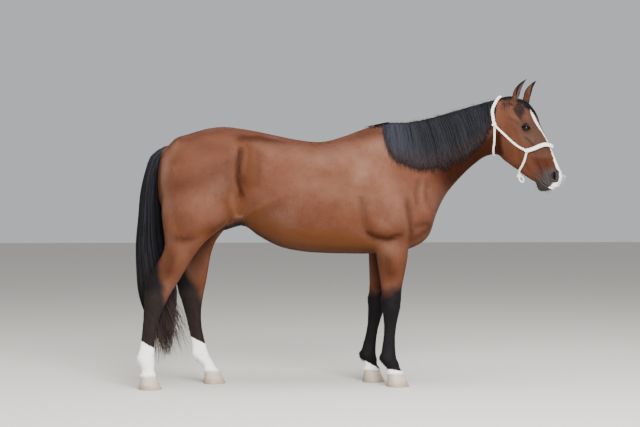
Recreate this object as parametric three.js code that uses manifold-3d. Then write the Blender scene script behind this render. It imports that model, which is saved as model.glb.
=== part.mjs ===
// A bay riding horse standing still on all four feet, its head turned to its right, in a rope halter.
// Millimetres, +X towards the horse's breast, +Y to its left, +Z up, the floor at z = 0.
import * as THREE from 'three';
import { mergeVertices } from 'three/addons/utils/BufferGeometryUtils.js';
import Module from 'manifold-3d';

const wasm = await Module();
wasm.setup();

// ---------------------------------------------------------------- driving dimensions
const withersHeight = 1570; // floor to the top of the withers
const drawnHeight = 1570; // the withers height that the tables below are written for
const scale = withersHeight / drawnHeight;
const gap = 0.35; // kept between two pieces that touch
const maneDepth = 15; // how far the mane stands off the neck
const forelockDepth = 12;
const eyeRadius = 21;
const ropeRadius = 7;
const nosebandRadius = 14;
const crownRadius = 10;

// ---------------------------------------------------------------- materials
const finish = (color, roughness) => new THREE.MeshStandardMaterial({ color, roughness, metalness: 0 });
const bayCoat = finish(0x93553a, 0.55);
const blackCoat = finish(0x26242a, 0.55);
const longHair = finish(0x1f1e24, 0.5);
const hoofHorn = finish(0xcdbfa9, 0.6);
const eyeball = finish(0x140d0a, 0.1);
const whiteRope = finish(0xe9e4da, 0.85);

// ---------------------------------------------------------------- the trunk and neck
// Each station is a section through the body: its top and bottom points [x, z], its half width, its sideways
// shift y, and how full it is above (crest) and below (keel): 0.5 is round, less is boxy, more is a ridge.
const trunkStations = [
  { at: 'buttock', top: [-1100, 1412], bottom: [-1108, 1040], half: 172, crest: 0.5, keel: 0.5 },
  { at: 'tail head', top: [-1052, 1466], bottom: [-1056, 960], half: 222, crest: 0.52, keel: 0.46 },
  { at: 'croup', top: [-950, 1505], bottom: [-955, 925], half: 256, crest: 0.5, keel: 0.46 },
  { at: 'hip joint', top: [-850, 1534], bottom: [-850, 915], half: 270, crest: 0.47, keel: 0.5 },
  { at: 'sacrum', top: [-755, 1545], bottom: [-745, 925], half: 272, crest: 0.44, keel: 0.5 },
  { at: 'point of hip', top: [-650, 1533], bottom: [-640, 952], half: 270, crest: 0.38, keel: 0.55 },
  { at: 'flank', top: [-540, 1515], bottom: [-545, 890], half: 262, crest: 0.42, keel: 0.52 },
  { at: 'loin', top: [-420, 1490], bottom: [-420, 826], half: 280, crest: 0.5, keel: 0.5 },
  { at: 'last rib', top: [-290, 1466], bottom: [-290, 797], half: 298, crest: 0.55, keel: 0.5 },
  { at: 'back', top: [-160, 1459], bottom: [-150, 786], half: 300, crest: 0.6, keel: 0.49 },
  { at: 'saddle', top: [-20, 1497], bottom: [-10, 783], half: 284, crest: 0.7, keel: 0.48 },
  { at: 'girth', top: [120, 1549], bottom: [125, 782], half: 260, crest: 0.86, keel: 0.45 },
  { at: 'withers', top: [240, 1569], bottom: [255, 788], half: 246, crest: 0.96, keel: 0.42 },
  { at: 'shoulder', top: [330, 1568], bottom: [378, 818], half: 230, crest: 0.96, keel: 0.4 },
  { at: 'breast', top: [420, 1580], bottom: [468, 880], half: 200, crest: 0.92, keel: 0.38 },
  { at: 'neck base', top: [505, 1600], bottom: [517, 1010], half: 152, y: 0, crest: 0.85, keel: 0.4 },
  { at: 'lower neck', top: [590, 1625], bottom: [578, 1130], half: 114, y: 0, crest: 0.7, keel: 0.43 },
  { at: 'middle neck', top: [680, 1651], bottom: [664, 1234], half: 93, y: -4, crest: 0.6, keel: 0.46 },
  { at: 'upper neck', top: [770, 1677], bottom: [752, 1318], half: 81, y: -10, crest: 0.55, keel: 0.5 },
  { at: 'throat', top: [850, 1699], bottom: [836, 1373], half: 75, y: -26, crest: 0.52, keel: 0.5 },
  { at: 'poll', top: [925, 1716], bottom: [928, 1386], half: 62, y: -54, crest: 0.5, keel: 0.5 },
];

// ---------------------------------------------------------------- the head
// In the head's own upright plane: [forward from the poll, height]. The head is then turned about the poll.
const headTurn = THREE.MathUtils.degToRad(-30);
const pollPlace = [935, -60];
const headStations = [
  { at: 'nape', top: [-70, 1709], bottom: [-104, 1440], half: 73, crest: 0.5, keel: 0.5 },
  { at: 'behind the ears', top: [0, 1726], bottom: [-84, 1397], half: 81, crest: 0.48, keel: 0.5 },
  { at: 'poll', top: [62, 1725], bottom: [-58, 1384], half: 87, crest: 0.42, keel: 0.48 },
  { at: 'jowl', top: [110, 1704], bottom: [-31, 1371], half: 94, crest: 0.35, keel: 0.46 },
  { at: 'forehead', top: [146, 1670], bottom: [1, 1334], half: 102, crest: 0.28, keel: 0.5 },
  { at: 'brow', top: [174, 1628], bottom: [38, 1306], half: 107, crest: 0.25, keel: 0.58 },
  { at: 'eyes', top: [199, 1579], bottom: [72, 1290], half: 99, crest: 0.26, keel: 0.62 },
  { at: 'under the eyes', top: [226, 1528], bottom: [104, 1264], half: 83, crest: 0.32, keel: 0.6 },
  { at: 'cheek end', top: [253, 1480], bottom: [137, 1241], half: 68, crest: 0.36, keel: 0.52 },
  { at: 'nose', top: [277, 1432], bottom: [164, 1224], half: 57, crest: 0.38, keel: 0.46 },
  { at: 'middle of the nose', top: [297, 1386], bottom: [185, 1207], half: 50, crest: 0.4, keel: 0.42 },
  { at: 'above the nostrils', top: [316, 1340], bottom: [199, 1186], half: 50, crest: 0.42, keel: 0.42 },
  { at: 'nostrils', top: [335, 1296], bottom: [213, 1170], half: 55, crest: 0.44, keel: 0.45 },
  { at: 'muzzle', top: [350, 1258], bottom: [232, 1161], half: 54, crest: 0.42, keel: 0.5 },
  { at: 'upper lip', top: [350, 1228], bottom: [253, 1159], half: 46, crest: 0.42, keel: 0.5 },
  { at: 'lips', top: [338, 1203], bottom: [274, 1165], half: 34, crest: 0.45, keel: 0.5 },
];
// Swellings and hollows of the head, both sides: centre [forward, sideways, height], reach along the face,
// reach across it, and how far the surface moves out (or in, if negative).
const headSwellings = [
  { at: 'cheek muscle', centre: [40, 88, 1430], reach: 95, across: 95, out: 9 },
  { at: 'brow ridge', centre: [172, 94, 1578], reach: 42, across: 26, out: 13 },
  { at: 'hollow over the eye', centre: [135, 74, 1622], reach: 30, across: 26, out: -8 },
  { at: 'eye socket', centre: [176, 96, 1528], reach: 26, across: 20, out: -5 },
  { at: 'face crest', centre: [205, 78, 1440], reach: 52, across: 18, out: 7 },
  { at: 'side of the nose', centre: [262, 45, 1380], reach: 50, across: 26, out: -5 },
  { at: 'bars of the jaw', centre: [140, 48, 1300], reach: 60, across: 24, out: -6 },
  { at: 'nostril', centre: [322, 46, 1255], reach: 30, across: 24, out: 8 },
  { at: 'jaw channel', centre: [20, 0, 1318], reach: 85, across: 24, out: -12 },
  { at: 'chin', centre: [218, 0, 1165], reach: 22, across: 26, out: 8 },
  { at: 'chin groove', centre: [185, 0, 1205], reach: 18, across: 34, out: -6 },
];
const eyeCentre = [160, 91, 1531];
const nostrilCentre = [323, 50, 1244];

// ---------------------------------------------------------------- the legs
// A leg hangs on four joints [x, y, z]. Its stations lie between them, each a level section with its reach in
// front of and behind the line of the joints, and its half width.
const forelegs = [
  {
    side: 'right',
    joints: {
      elbow: [240, -128, 900], knee: [239, -120, 500], fetlock: [222, -118, 165], coronet: [264, -118, 74],
    },
  },
  {
    side: 'left',
    joints: {
      elbow: [240, 128, 900], knee: [186, 120, 500], fetlock: [127, 118, 165], coronet: [148, 118, 72],
    },
  },
];
const forelegStations = [
  { from: 'elbow', to: 'knee', at: -0.22, front: 96, back: 96, half: 62 },
  { from: 'elbow', to: 'knee', at: 0, front: 112, back: 108, half: 74 },
  { from: 'elbow', to: 'knee', at: 0.2, front: 102, back: 100, half: 72 },
  { from: 'elbow', to: 'knee', at: 0.37, front: 94, back: 90, half: 66 },
  { from: 'elbow', to: 'knee', at: 0.52, front: 84, back: 79, half: 60 },
  { from: 'elbow', to: 'knee', at: 0.68, front: 71, back: 70, half: 53 },
  { from: 'elbow', to: 'knee', at: 0.83, front: 62, back: 62, half: 48 },
  { from: 'elbow', to: 'knee', at: 0.93, front: 60, back: 60, half: 51 },
  { from: 'elbow', to: 'knee', at: 1, front: 59, back: 59, half: 53 },
  { from: 'knee', to: 'fetlock', at: 0.13, front: 55, back: 54, half: 50 },
  { from: 'knee', to: 'fetlock', at: 0.27, front: 46, back: 46, half: 38 },
  { from: 'knee', to: 'fetlock', at: 0.42, front: 39, back: 39, half: 30 },
  { from: 'knee', to: 'fetlock', at: 0.58, front: 35, back: 38, half: 27 },
  { from: 'knee', to: 'fetlock', at: 0.74, front: 37, back: 42, half: 28 },
  { from: 'knee', to: 'fetlock', at: 0.88, front: 42, back: 47, half: 34 },
  { from: 'knee', to: 'fetlock', at: 1, front: 50, back: 54, half: 42 },
  { from: 'fetlock', to: 'coronet', at: 0.3, front: 50, back: 50, half: 41 },
  { from: 'fetlock', to: 'coronet', at: 0.62, front: 44, back: 43, half: 37 },
  { from: 'fetlock', to: 'coronet', at: 1, front: 49, back: 48, half: 46 },
];
const hindlegs = [
  {
    side: 'right',
    joints: {
      croup: [-905, -140, 1330], stifle: [-925, -150, 960], hock: [-1140, -138, 560],
      fetlock: [-1207, -140, 178], coronet: [-1195, -142, 74],
    },
  },
  {
    side: 'left',
    joints: {
      croup: [-900, 140, 1330], stifle: [-905, 150, 960], hock: [-947, 128, 560],
      fetlock: [-888, 122, 168], coronet: [-822, 120, 70],
    },
  },
];
const hindlegStations = [
  { from: 'croup', to: 'stifle', at: 0, front: 150, back: 140, half: 70 },
  { from: 'croup', to: 'stifle', at: 0.3, front: 190, back: 176, half: 104 },
  { from: 'croup', to: 'stifle', at: 0.55, front: 206, back: 196, half: 119 },
  { from: 'croup', to: 'stifle', at: 0.78, front: 204, back: 203, half: 119 },
  { from: 'stifle', to: 'hock', at: 0, front: 186, back: 190, half: 110 },
  { from: 'stifle', to: 'hock', at: 0.12, front: 152, back: 156, half: 98 },
  { from: 'stifle', to: 'hock', at: 0.24, front: 121, back: 124, half: 86 },
  { from: 'stifle', to: 'hock', at: 0.38, front: 103, back: 100, half: 74 },
  { from: 'stifle', to: 'hock', at: 0.54, front: 93, back: 95, half: 64 },
  { from: 'stifle', to: 'hock', at: 0.7, front: 90, back: 99, half: 55 },
  { from: 'stifle', to: 'hock', at: 0.84, front: 87, back: 98, half: 49 },
  { from: 'stifle', to: 'hock', at: 0.93, front: 83, back: 91, half: 50 },
  { from: 'stifle', to: 'hock', at: 1, front: 78, back: 83, half: 52 },
  { from: 'hock', to: 'fetlock', at: 0.12, front: 64, back: 73, half: 50 },
  { from: 'hock', to: 'fetlock', at: 0.25, front: 48, back: 66, half: 42 },
  { from: 'hock', to: 'fetlock', at: 0.38, front: 38, back: 59, half: 35 },
  { from: 'hock', to: 'fetlock', at: 0.52, front: 32, back: 54, half: 31 },
  { from: 'hock', to: 'fetlock', at: 0.68, front: 34, back: 50, half: 29 },
  { from: 'hock', to: 'fetlock', at: 0.84, front: 40, back: 49, half: 34 },
  { from: 'hock', to: 'fetlock', at: 1, front: 50, back: 53, half: 42 },
  { from: 'fetlock', to: 'coronet', at: 0.3, front: 47, back: 48, half: 40 },
  { from: 'fetlock', to: 'coronet', at: 0.62, front: 42, back: 41, half: 36 },
  { from: 'fetlock', to: 'coronet', at: 1, front: 46, back: 46, half: 44 },
];
// A hoof, level sections measured from its coronet: the toe runs forward as it comes down.
const hoofHeight = 72;
const hoofStations = [
  { rise: 1.04, front: 46, back: 45, half: 43 },
  { rise: 0.9, front: 53, back: 49, half: 50 },
  { rise: 0.45, front: 69, back: 52, half: 57 },
  { rise: 0, front: 84, back: 55, half: 64 },
];

// ---------------------------------------------------------------- the hair, drawn as one closed mass each
const tailStations = [
  { at: 'dock', top: [-1062, 1452], bottom: [-1062, 1392], half: 26 },
  { at: 'first bend', top: [-1128, 1424], bottom: [-1092, 1372], half: 33 },
  { at: 'over the buttock', top: [-1183, 1372], bottom: [-1110, 1338], half: 40 },
  { at: 'below the dock', top: [-1214, 1286], bottom: [-1122, 1272], half: 45 },
  { at: 'thigh', top: [-1244, 1160], bottom: [-1128, 1150], half: 50 },
  { at: 'half way', top: [-1258, 1010], bottom: [-1118, 1000], half: 55 },
  { at: 'stifle height', top: [-1272, 850], bottom: [-1098, 850], half: 58 },
  { at: 'gaskin', top: [-1270, 700], bottom: [-1056, 710], half: 54 },
  { at: 'hock', top: [-1255, 540], bottom: [-1032, 560], half: 48 },
  { at: 'cannon', top: [-1205, 400], bottom: [-1040, 410], half: 40 },
  { at: 'thinning', top: [-1138, 270], bottom: [-1054, 275], half: 28 },
  { at: 'end', top: [-1103, 165], bottom: [-1072, 165], half: 11 },
];
// Outlines [x, z] that the mane and forelock fill, seen from the side, and how far across they go.
const maneOutline = [
  [196, 1620], [196, 1545], [210, 1470], [206, 1405], [226, 1360], [262, 1330], [330, 1298], [400, 1284],
  [480, 1286], [560, 1298], [640, 1326], [712, 1368], [778, 1426], [822, 1495], [842, 1580], [880, 1800],
  [196, 1800],
];
const maneReach = { left: 14, right: -400 };
const forelockOutline = [
  [40, 1760], [70, 1706], [106, 1655], [128, 1612], [150, 1600], [172, 1612], [200, 1640], [160, 1790],
];
const forelockReach = { left: 54, right: -24 };

// ---------------------------------------------------------------- making forms
// The value of one measure part of the way along the stations: a cubic through them whose slope at each is
// that of the parabola through it and its two neighbours.
function alongStations(values, places, place) {
  const last = values.length - 1;
  let k = 0;
  while (k < last - 1 && place > places[k + 1]) k += 1;
  const slope = (i) => {
    const rise = (j) => (values[j + 1] - values[j]) / (places[j + 1] - places[j]);
    if (i === 0) return rise(0);
    if (i === last) return rise(last - 1);
    const before = places[i] - places[i - 1];
    const after = places[i + 1] - places[i];
    return (rise(i - 1) * after + rise(i) * before) / (before + after);
  };
  const span = places[k + 1] - places[k];
  const u = (place - places[k]) / span;
  const uu = u * u;
  const uuu = uu * u;
  return (2 * uuu - 3 * uu + 1) * values[k] + (uuu - 2 * uu + u) * span * slope(k)
    + (3 * uu - 2 * uuu) * values[k + 1] + (uuu - uu) * span * slope(k + 1);
}

// The measures of a set of stations as functions of the place along them, 0 at the first and 1 at the last.
function measuresOf(stations, grow = 0) {
  const middle = (s) => new THREE.Vector2((s.top[0] + s.bottom[0]) / 2, (s.top[1] + s.bottom[1]) / 2);
  const places = [0];
  for (let i = 1; i < stations.length; i += 1) {
    places.push(places[i - 1] + middle(stations[i]).distanceTo(middle(stations[i - 1])));
  }
  const total = places.at(-1);
  const fraction = places.map((p) => p / total);
  const read = (pick) => {
    const values = stations.map(pick);
    return (place) => alongStations(values, fraction, place);
  };
  return {
    topX: read((s) => s.top[0]), topZ: read((s) => s.top[1]),
    bottomX: read((s) => s.bottom[0]), bottomZ: read((s) => s.bottom[1]),
    half: read((s) => s.half + grow), y: read((s) => s.y ?? 0),
    crest: read((s) => s.crest ?? 0.5), keel: read((s) => s.keel ?? 0.5),
    grow, total,
  };
}

// One point of a section: turn runs from 0 at the top, round by the left side, to 2 pi. The half width goes
// as down^crest * (1 - down)^keel, scaled so that its widest point is the station's half width.
function sectionPoint(m, place, turn, shrink = 1, push = 0) {
  const top = new THREE.Vector2(m.topX(place), m.topZ(place));
  const bottom = new THREE.Vector2(m.bottomX(place), m.bottomZ(place));
  const up = top.clone().sub(bottom).normalize();
  top.addScaledVector(up, m.grow);
  bottom.addScaledVector(up, -m.grow);
  const crest = m.crest(place);
  const keel = m.keel(place);
  const down = (1 - Math.cos(turn)) / 2;
  const widest = crest / (crest + keel);
  const fullness = (down ** crest * (1 - down) ** keel) / (widest ** crest * (1 - widest) ** keel);
  const middle = top.clone().add(bottom).multiplyScalar(0.5);
  const spot = top.clone().lerp(bottom, down).sub(middle).multiplyScalar(shrink).add(middle);
  const forward = new THREE.Vector2(up.y, -up.x);
  spot.addScaledVector(forward, push);
  const sideways = Math.sign(Math.sin(turn)) * m.half(place) * fullness * shrink;
  return new THREE.Vector3(spot.x, m.y(place) + sideways, spot.y);
}

// A closed form through the stations: a sphere geometry whose rows become the rings, with a dome at each end
// that stands out by domes[0] and domes[1].
function form(stations, { rings, around, domes = [0, 0], domeRings = 2, grow = 0, facing = 1 }) {
  const m = measuresOf(stations, grow);
  const rows = rings + 2 * domeRings;
  const shape = new THREE.SphereGeometry(1, around, rows);
  const spots = shape.attributes.position;
  const uv = shape.attributes.uv;
  for (let i = 0; i < spots.count; i += 1) {
    const row = Math.round((1 - uv.getY(i)) * rows);
    const turn = (Math.round(uv.getX(i) * around) / around) * 2 * Math.PI;
    const place = THREE.MathUtils.clamp((row - domeRings) / rings, 0, 1);
    const first = row < domeRings;
    const inDome = first ? domeRings - row : Math.max(0, row - domeRings - rings);
    const tilt = (inDome / domeRings) * (Math.PI / 2);
    const shrink = inDome === domeRings ? 0 : Math.cos(tilt);
    const push = facing * Math.sin(tilt) * (first ? -(domes[0] + grow) : domes[1] + grow);
    const point = sectionPoint(m, place, turn, shrink, push);
    spots.setXYZ(i, point.x, point.y, point.z);
  }
  return shape;
}

// The same surface with nothing but its corners, each kept once.
function bare(geometry) {
  const shape = geometry.clone();
  const extra = Object.keys(shape.attributes).filter((name) => name !== 'position');
  for (const name of extra) shape.deleteAttribute(name);
  return mergeVertices(shape, 1e-3);
}

// Moves the points near each swelling out along the surface's own normals, on both sides of the head.
function swell(surface, swellings, along) {
  const shape = bare(surface);
  const spots = shape.attributes.position;
  shape.computeVertexNormals();
  const normals = shape.attributes.normal;
  const face = new THREE.Vector3(along[0], 0, along[1]).normalize();
  for (let i = 0; i < spots.count; i += 1) {
    const point = new THREE.Vector3().fromBufferAttribute(spots, i);
    const normal = new THREE.Vector3().fromBufferAttribute(normals, i);
    let out = 0;
    for (const swelling of swellings) {
      for (const side of swelling.centre[1] === 0 ? [1] : [1, -1]) {
        const centre = new THREE.Vector3(swelling.centre[0], side * swelling.centre[1], swelling.centre[2]);
        const offset = point.clone().sub(centre);
        const lengthwise = offset.dot(face);
        const crosswise = offset.addScaledVector(face, -lengthwise).length();
        const far = (lengthwise / swelling.reach) ** 2 + (crosswise / swelling.across) ** 2;
        out += swelling.out * Math.exp(-far);
      }
    }
    point.addScaledVector(normal, out);
    spots.setXYZ(i, point.x, point.y, point.z);
  }
  return shape;
}

// ---------------------------------------------------------------- joining and cutting
function solidOf(geometry) {
  const merged = bare(geometry);
  const spots = new Float32Array(merged.attributes.position.array);
  const corners = [];
  for (let i = 0; i < merged.index.count; i += 3) {
    const [a, b, c] = [0, 1, 2].map((k) => merged.index.getX(i + k));
    if (a !== b && b !== c && a !== c) corners.push([a, b, c]);
  }
  const made = (order) => new wasm.Manifold(new wasm.Mesh({
    numProp: 3, vertProperties: spots, triVerts: new Uint32Array(corners.flatMap(order)),
  }));
  const solid = made((corner) => corner);
  return solid.volume() > 0 ? solid : made(([a, b, c]) => [a, c, b]);
}

function largestPiece(solid) {
  return solid.decompose().reduce((best, piece) => (piece.volume() > best.volume() ? piece : best));
}

function meshOf(name, solid, material) {
  const kept = largestPiece(solid).getMesh();
  const geometry = new THREE.BufferGeometry();
  const spots = new Float32Array(kept.numVert * 3);
  for (let i = 0; i < kept.numVert; i += 1) {
    for (let k = 0; k < 3; k += 1) spots[3 * i + k] = kept.vertProperties[kept.numProp * i + k];
  }
  geometry.setAttribute('position', new THREE.BufferAttribute(spots, 3));
  geometry.setIndex(new THREE.BufferAttribute(new Uint32Array(kept.triVerts), 1));
  geometry.computeVertexNormals();
  const mesh = new THREE.Mesh(geometry, material);
  mesh.name = name;
  return mesh;
}

// A side-view outline [x, z] carried straight across from y = right to y = left.
function slab(outline, right, left) {
  const shape = new THREE.Shape(outline.map(([x, z]) => new THREE.Vector2(x, z)));
  return new THREE.ExtrudeGeometry(shape, { depth: left - right, bevelEnabled: false })
    .rotateX(Math.PI / 2)
    .translate(0, left, 0);
}

// ---------------------------------------------------------------- placing the head
const placeHead = (geometry) => geometry.rotateZ(headTurn).translate(pollPlace[0], pollPlace[1], 0);
const faceAlong = [0.43, -0.9];

function headForm(grow) {
  const shape = form(headStations, { rings: 22, around: 18, domes: [6, 9], grow });
  return swell(shape, headSwellings, faceAlong);
}

// ---------------------------------------------------------------- legs
function legStations(stations, joints) {
  return stations.map(({ from, to, at, front, back, half }) => {
    const [x, y, z] = joints[from].map((value, k) => value + (joints[to][k] - value) * at);
    return { top: [x + front, z], bottom: [x - back, z], half, y, crest: 0.5, keel: 0.5 };
  });
}
const legForm = (stations, joints, rings, grow) => solidOf(form(legStations(stations, joints), {
  rings, around: 10, domes: [20, 0], domeRings: 1, grow, facing: -1,
}));

function hoofForm(coronet) {
  const [x, y] = coronet;
  const stations = hoofStations.map(({ rise, front, back, half }) => {
    const z = rise * hoofHeight;
    return { top: [x + front, z], bottom: [x - back, z], half, y, crest: 0.5, keel: 0.42 };
  });
  return form(stations, { rings: 3, around: 14, domeRings: 1, facing: -1 });
}

// ---------------------------------------------------------------- ears
// A leaf-shaped cup on a line from its root to its tip, hollowed from the front, and turned outwards about
// that line by some degrees.
const earRoots = { left: [112, 58, 1700], right: [78, -60, 1696] };
const earTips = { left: [163, 80, 1829], right: [146, -66, 1826] };
const earTurns = { left: 24, right: -16 };
const earWidth = 37;
const earDepth = 25;
const earWall = 7;
function earForm(side, inset) {
  const shape = new THREE.SphereGeometry(1, 10, 7);
  const spots = shape.attributes.position;
  const sign = side === 'left' ? 1 : -1;
  const root = new THREE.Vector3(...earRoots[side]);
  const tip = new THREE.Vector3(...earTips[side]);
  const axis = tip.clone().sub(root);
  const outward = new THREE.Vector3(-0.3, sign * 0.95, 0).normalize();
  const forward = new THREE.Vector3().crossVectors(outward, axis).normalize().multiplyScalar(sign);
  const pivot = axis.clone().normalize();
  const turn = THREE.MathUtils.degToRad(earTurns[side]) * sign;
  outward.applyAxisAngle(pivot, turn);
  forward.applyAxisAngle(pivot, turn);
  for (let i = 0; i < spots.count; i += 1) {
    const rise = (spots.getY(i) + 1) / 2;
    const bend = 7 * Math.sin(rise * Math.PI);
    const taper = 1.15 - 0.62 * rise;
    const width = earWidth * taper - inset;
    const depth = earDepth * taper - inset * 0.5;
    const point = root.clone().addScaledVector(axis, rise * (1 - inset / 160) + inset / 260);
    point.addScaledVector(outward, spots.getX(i) * width);
    point.addScaledVector(forward, spots.getZ(i) * depth + Math.max(inset, 0) * 2.1 - bend);
    spots.setXYZ(i, point.x, point.y, point.z);
  }
  return placeHead(shape);
}

// ---------------------------------------------------------------- the halter's ropes
// A point of the head's surface, lifted off it, that is seen from the side at [forward, height]. The section
// whose line runs through it is found by halving, then the half width there; beyond the outline it is on it.
function onHead([forward, height], side, lift) {
  const m = measuresOf(headStations, lift);
  const lineAt = (place) => {
    const top = new THREE.Vector2(m.topX(place), m.topZ(place));
    const bottom = new THREE.Vector2(m.bottomX(place), m.bottomZ(place));
    const up = top.clone().sub(bottom).normalize();
    return { top: top.addScaledVector(up, lift), bottom: bottom.addScaledVector(up, -lift) };
  };
  const spot = new THREE.Vector2(forward, height);
  let [near, far] = [0, 1];
  for (let k = 0; k < 30; k += 1) {
    const { top, bottom } = lineAt((near + far) / 2);
    const ahead = top.clone().sub(bottom).cross(spot.clone().sub(bottom)) < 0;
    if (ahead) near = (near + far) / 2;
    else far = (near + far) / 2;
  }
  const { top, bottom } = lineAt(near);
  const down = THREE.MathUtils.clamp(top.clone().sub(spot).length() / top.distanceTo(bottom), 0, 1);
  const outside = spot.clone().sub(bottom).dot(top.clone().sub(bottom)) / top.distanceToSquared(bottom);
  const turn = Math.acos(1 - 2 * (outside > 1 ? 0 : outside < 0 ? 1 : down));
  const point = sectionPoint(m, near, turn);
  return new THREE.Vector3(point.x, side * Math.abs(point.y), point.z);
}
const toWorld = (point) => point.applyAxisAngle(new THREE.Vector3(0, 0, 1), headTurn)
  .add(new THREE.Vector3(pollPlace[0], pollPlace[1], 0));

// A round rope along a curve through the points.
function rope(points, radius, steps) {
  const sides = 5;
  const section = new THREE.Shape();
  for (let k = 0; k < sides; k += 1) {
    const angle = (k / sides) * 2 * Math.PI;
    const [u, v] = [radius * Math.cos(angle), radius * Math.sin(angle)];
    if (k === 0) section.moveTo(u, v);
    else section.lineTo(u, v);
  }
  section.closePath();
  const path = new THREE.CatmullRomCurve3(points);
  return solidOf(new THREE.ExtrudeGeometry(section, { steps, extrudePath: path, bevelEnabled: false }));
}
// A rope's points: down one side of the head, or round it from right to left by way of the last point.
const oneSide = (side, line, radius) => line.map((spot) => toWorld(onHead(spot, side, radius)));
function roundHead(line, radius) {
  return [...oneSide(-1, line, radius), ...oneSide(1, line.slice(0, -1), radius).reverse()];
}

// ---------------------------------------------------------------- assembly
const horse = new THREE.Group();
const add = (name, solid, material) => horse.add(meshOf(name, solid, material));

const trunkForm = (grow) => solidOf(form(trunkStations, { rings: 32, around: 20, domes: [44, 6], grow }));
const legs = [
  ...forelegs.map((leg) => ({ ...leg, kind: 'foreleg', stations: forelegStations, rings: 21, top: 862 })),
  ...hindlegs.map((leg) => ({ ...leg, kind: 'hindleg', stations: hindlegStations, rings: 24, top: 1010 })),
];
const legSolid = ({ stations, joints, rings }, grow) => legForm(stations, joints, rings, grow);
const head = solidOf(placeHead(headForm(0)));
const headGrown = solidOf(placeHead(headForm(gap)));
const flesh = legs.reduce((sum, leg) => sum.add(legSolid(leg, 0)), trunkForm(0));

// The head ends and the neck begins on the head's own surface.
const neckAndTrunk = flesh.subtract(headGrown);

// The neck is divided from the trunk by a plane from the withers to the breast.
const neckCut = { normal: [0.94, 0, 0.34], through: [430, 0, 1250] };
const planeOffset = (extra) => neckCut.normal.reduce((sum, n, k) => sum + n * neckCut.through[k], 0)
  / Math.hypot(...neckCut.normal) + extra;
const neckSide = neckAndTrunk.trimByPlane(neckCut.normal, planeOffset(gap / 2));
const trunkSide = neckAndTrunk.trimByPlane(neckCut.normal.map((n) => -n), -planeOffset(-gap / 2));

// Each leg is its own form up to its top; the trunk keeps what is above and is cut clear of it below.
let trunk = trunkSide;
for (const leg of legs) {
  const limb = legSolid(leg, gap).trimByPlane([0, 0, -1], -(leg.top + gap));
  trunk = trunk.subtract(limb);
}
add('trunk', trunk, bayCoat);
add('neck', neckSide, bayCoat);

for (const leg of legs) {
  const name = `${leg.kind}_${leg.side}`;
  const hoof = solidOf(hoofForm(leg.joints.coronet));
  const hoofTop = leg.joints.coronet[2];
  const limb = legSolid(leg, 0).trimByPlane([0, 0, -1], -leg.top).trimByPlane([0, 0, 1], hoofTop + gap);
  add(name, limb, blackCoat);
  add(name.replace('leg', '_hoof'), hoof.trimByPlane([0, 0, -1], -hoofTop), hoofHorn);
}

// Head, eyes and ears.
const eyes = [1, -1].map((side) => {
  const ball = (radius) => solidOf(placeHead(new THREE.SphereGeometry(radius, 12, 7)
    .translate(eyeCentre[0], side * eyeCentre[1], eyeCentre[2])));
  return { side, ball: ball(eyeRadius), room: ball(eyeRadius + gap) };
});
const ears = ['left', 'right'].map((side) => {
  const cup = solidOf(earForm(side, 0)).subtract(solidOf(earForm(side, earWall)));
  return { side, cup };
});
let headSolid = head;
for (const { room } of eyes) headSolid = headSolid.subtract(room);
for (const side of [1, -1]) {
  const hole = new THREE.SphereGeometry(1, 10, 6).scale(10, 15, 21)
    .translate(nostrilCentre[0], side * nostrilCentre[1], nostrilCentre[2]);
  headSolid = headSolid.subtract(solidOf(placeHead(hole)));
}
add('head', headSolid, bayCoat);
for (const { side, ball } of eyes) add(`eye_${side > 0 ? 'left' : 'right'}`, ball, eyeball);
for (const { side, cup } of ears) add(`ear_${side}`, cup.subtract(headGrown), bayCoat);

// Forelock: the head's form grown, kept inside its outline between the ears.
const forelockSlab = solidOf(placeHead(slab(forelockOutline, forelockReach.right, forelockReach.left)));
let forelock = solidOf(placeHead(headForm(forelockDepth))).intersect(forelockSlab).subtract(headGrown);
for (const { side } of ears) forelock = forelock.subtract(solidOf(earForm(side, -1)));
add('forelock', forelock, longHair);

// The halter: ropes laid on the head one after another, each clear of the head, the neck and those before it.
// The crown has the knots below the ears, the noseband those at its ends, the chin rope the one underneath.
const crownLine = [[-38, 1556], [-47, 1600], [-54, 1645], [-44, 1685], [-26, 1740]];
const nosebandLine = [[162, 1396], [205, 1410], [240, 1426], [262, 1433], [300, 1448]];
const throatLine = [[-36, 1532], [-35, 1500], [-36, 1450], [-38, 1340]];
const chinLine = [[156, 1372], [142, 1340], [120, 1306], [96, 1280], [80, 1240]];
const cheekLine = [[-16, 1536], [6, 1514], [44, 1480], [84, 1444], [122, 1416], [142, 1404]];
const bothEnds = ([spot]) => [-1, 1].map((side) => toWorld(onHead(spot, side, ropeRadius)));
const underChin = toWorld(onHead(chinLine.at(-1), 1, 15));
const halterRopes = [
  { name: 'crown', points: roundHead(crownLine, crownRadius), radius: crownRadius, steps: 14 },
  { name: 'noseband', points: roundHead(nosebandLine, nosebandRadius), radius: nosebandRadius, steps: 12 },
  { name: 'throat', points: roundHead(throatLine, ropeRadius), radius: ropeRadius, steps: 10 },
  { name: 'chin', points: roundHead(chinLine, ropeRadius), radius: ropeRadius, steps: 10 },
  { name: 'cheek_left', points: oneSide(1, cheekLine, ropeRadius), radius: ropeRadius, steps: 5 },
  { name: 'cheek_right', points: oneSide(-1, cheekLine, ropeRadius), radius: ropeRadius, steps: 5 },
];
const knotPlaces = { crown: bothEnds(crownLine), noseband: bothEnds(nosebandLine), chin: [underChin] };
const knotSize = [16, 13, 17];
function withKnots({ name, points, radius, steps }, grow) {
  let solid = rope(points, radius + grow, steps);
  for (const place of knotPlaces[name] ?? []) {
    const knot = new THREE.SphereGeometry(1, 6, 5).scale(...knotSize.map((size) => size + grow));
    solid = solid.add(solidOf(knot.rotateZ(headTurn).translate(place.x, place.y, place.z)));
  }
  return solid;
}
let roped = headGrown.add(trunkForm(gap));
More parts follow.
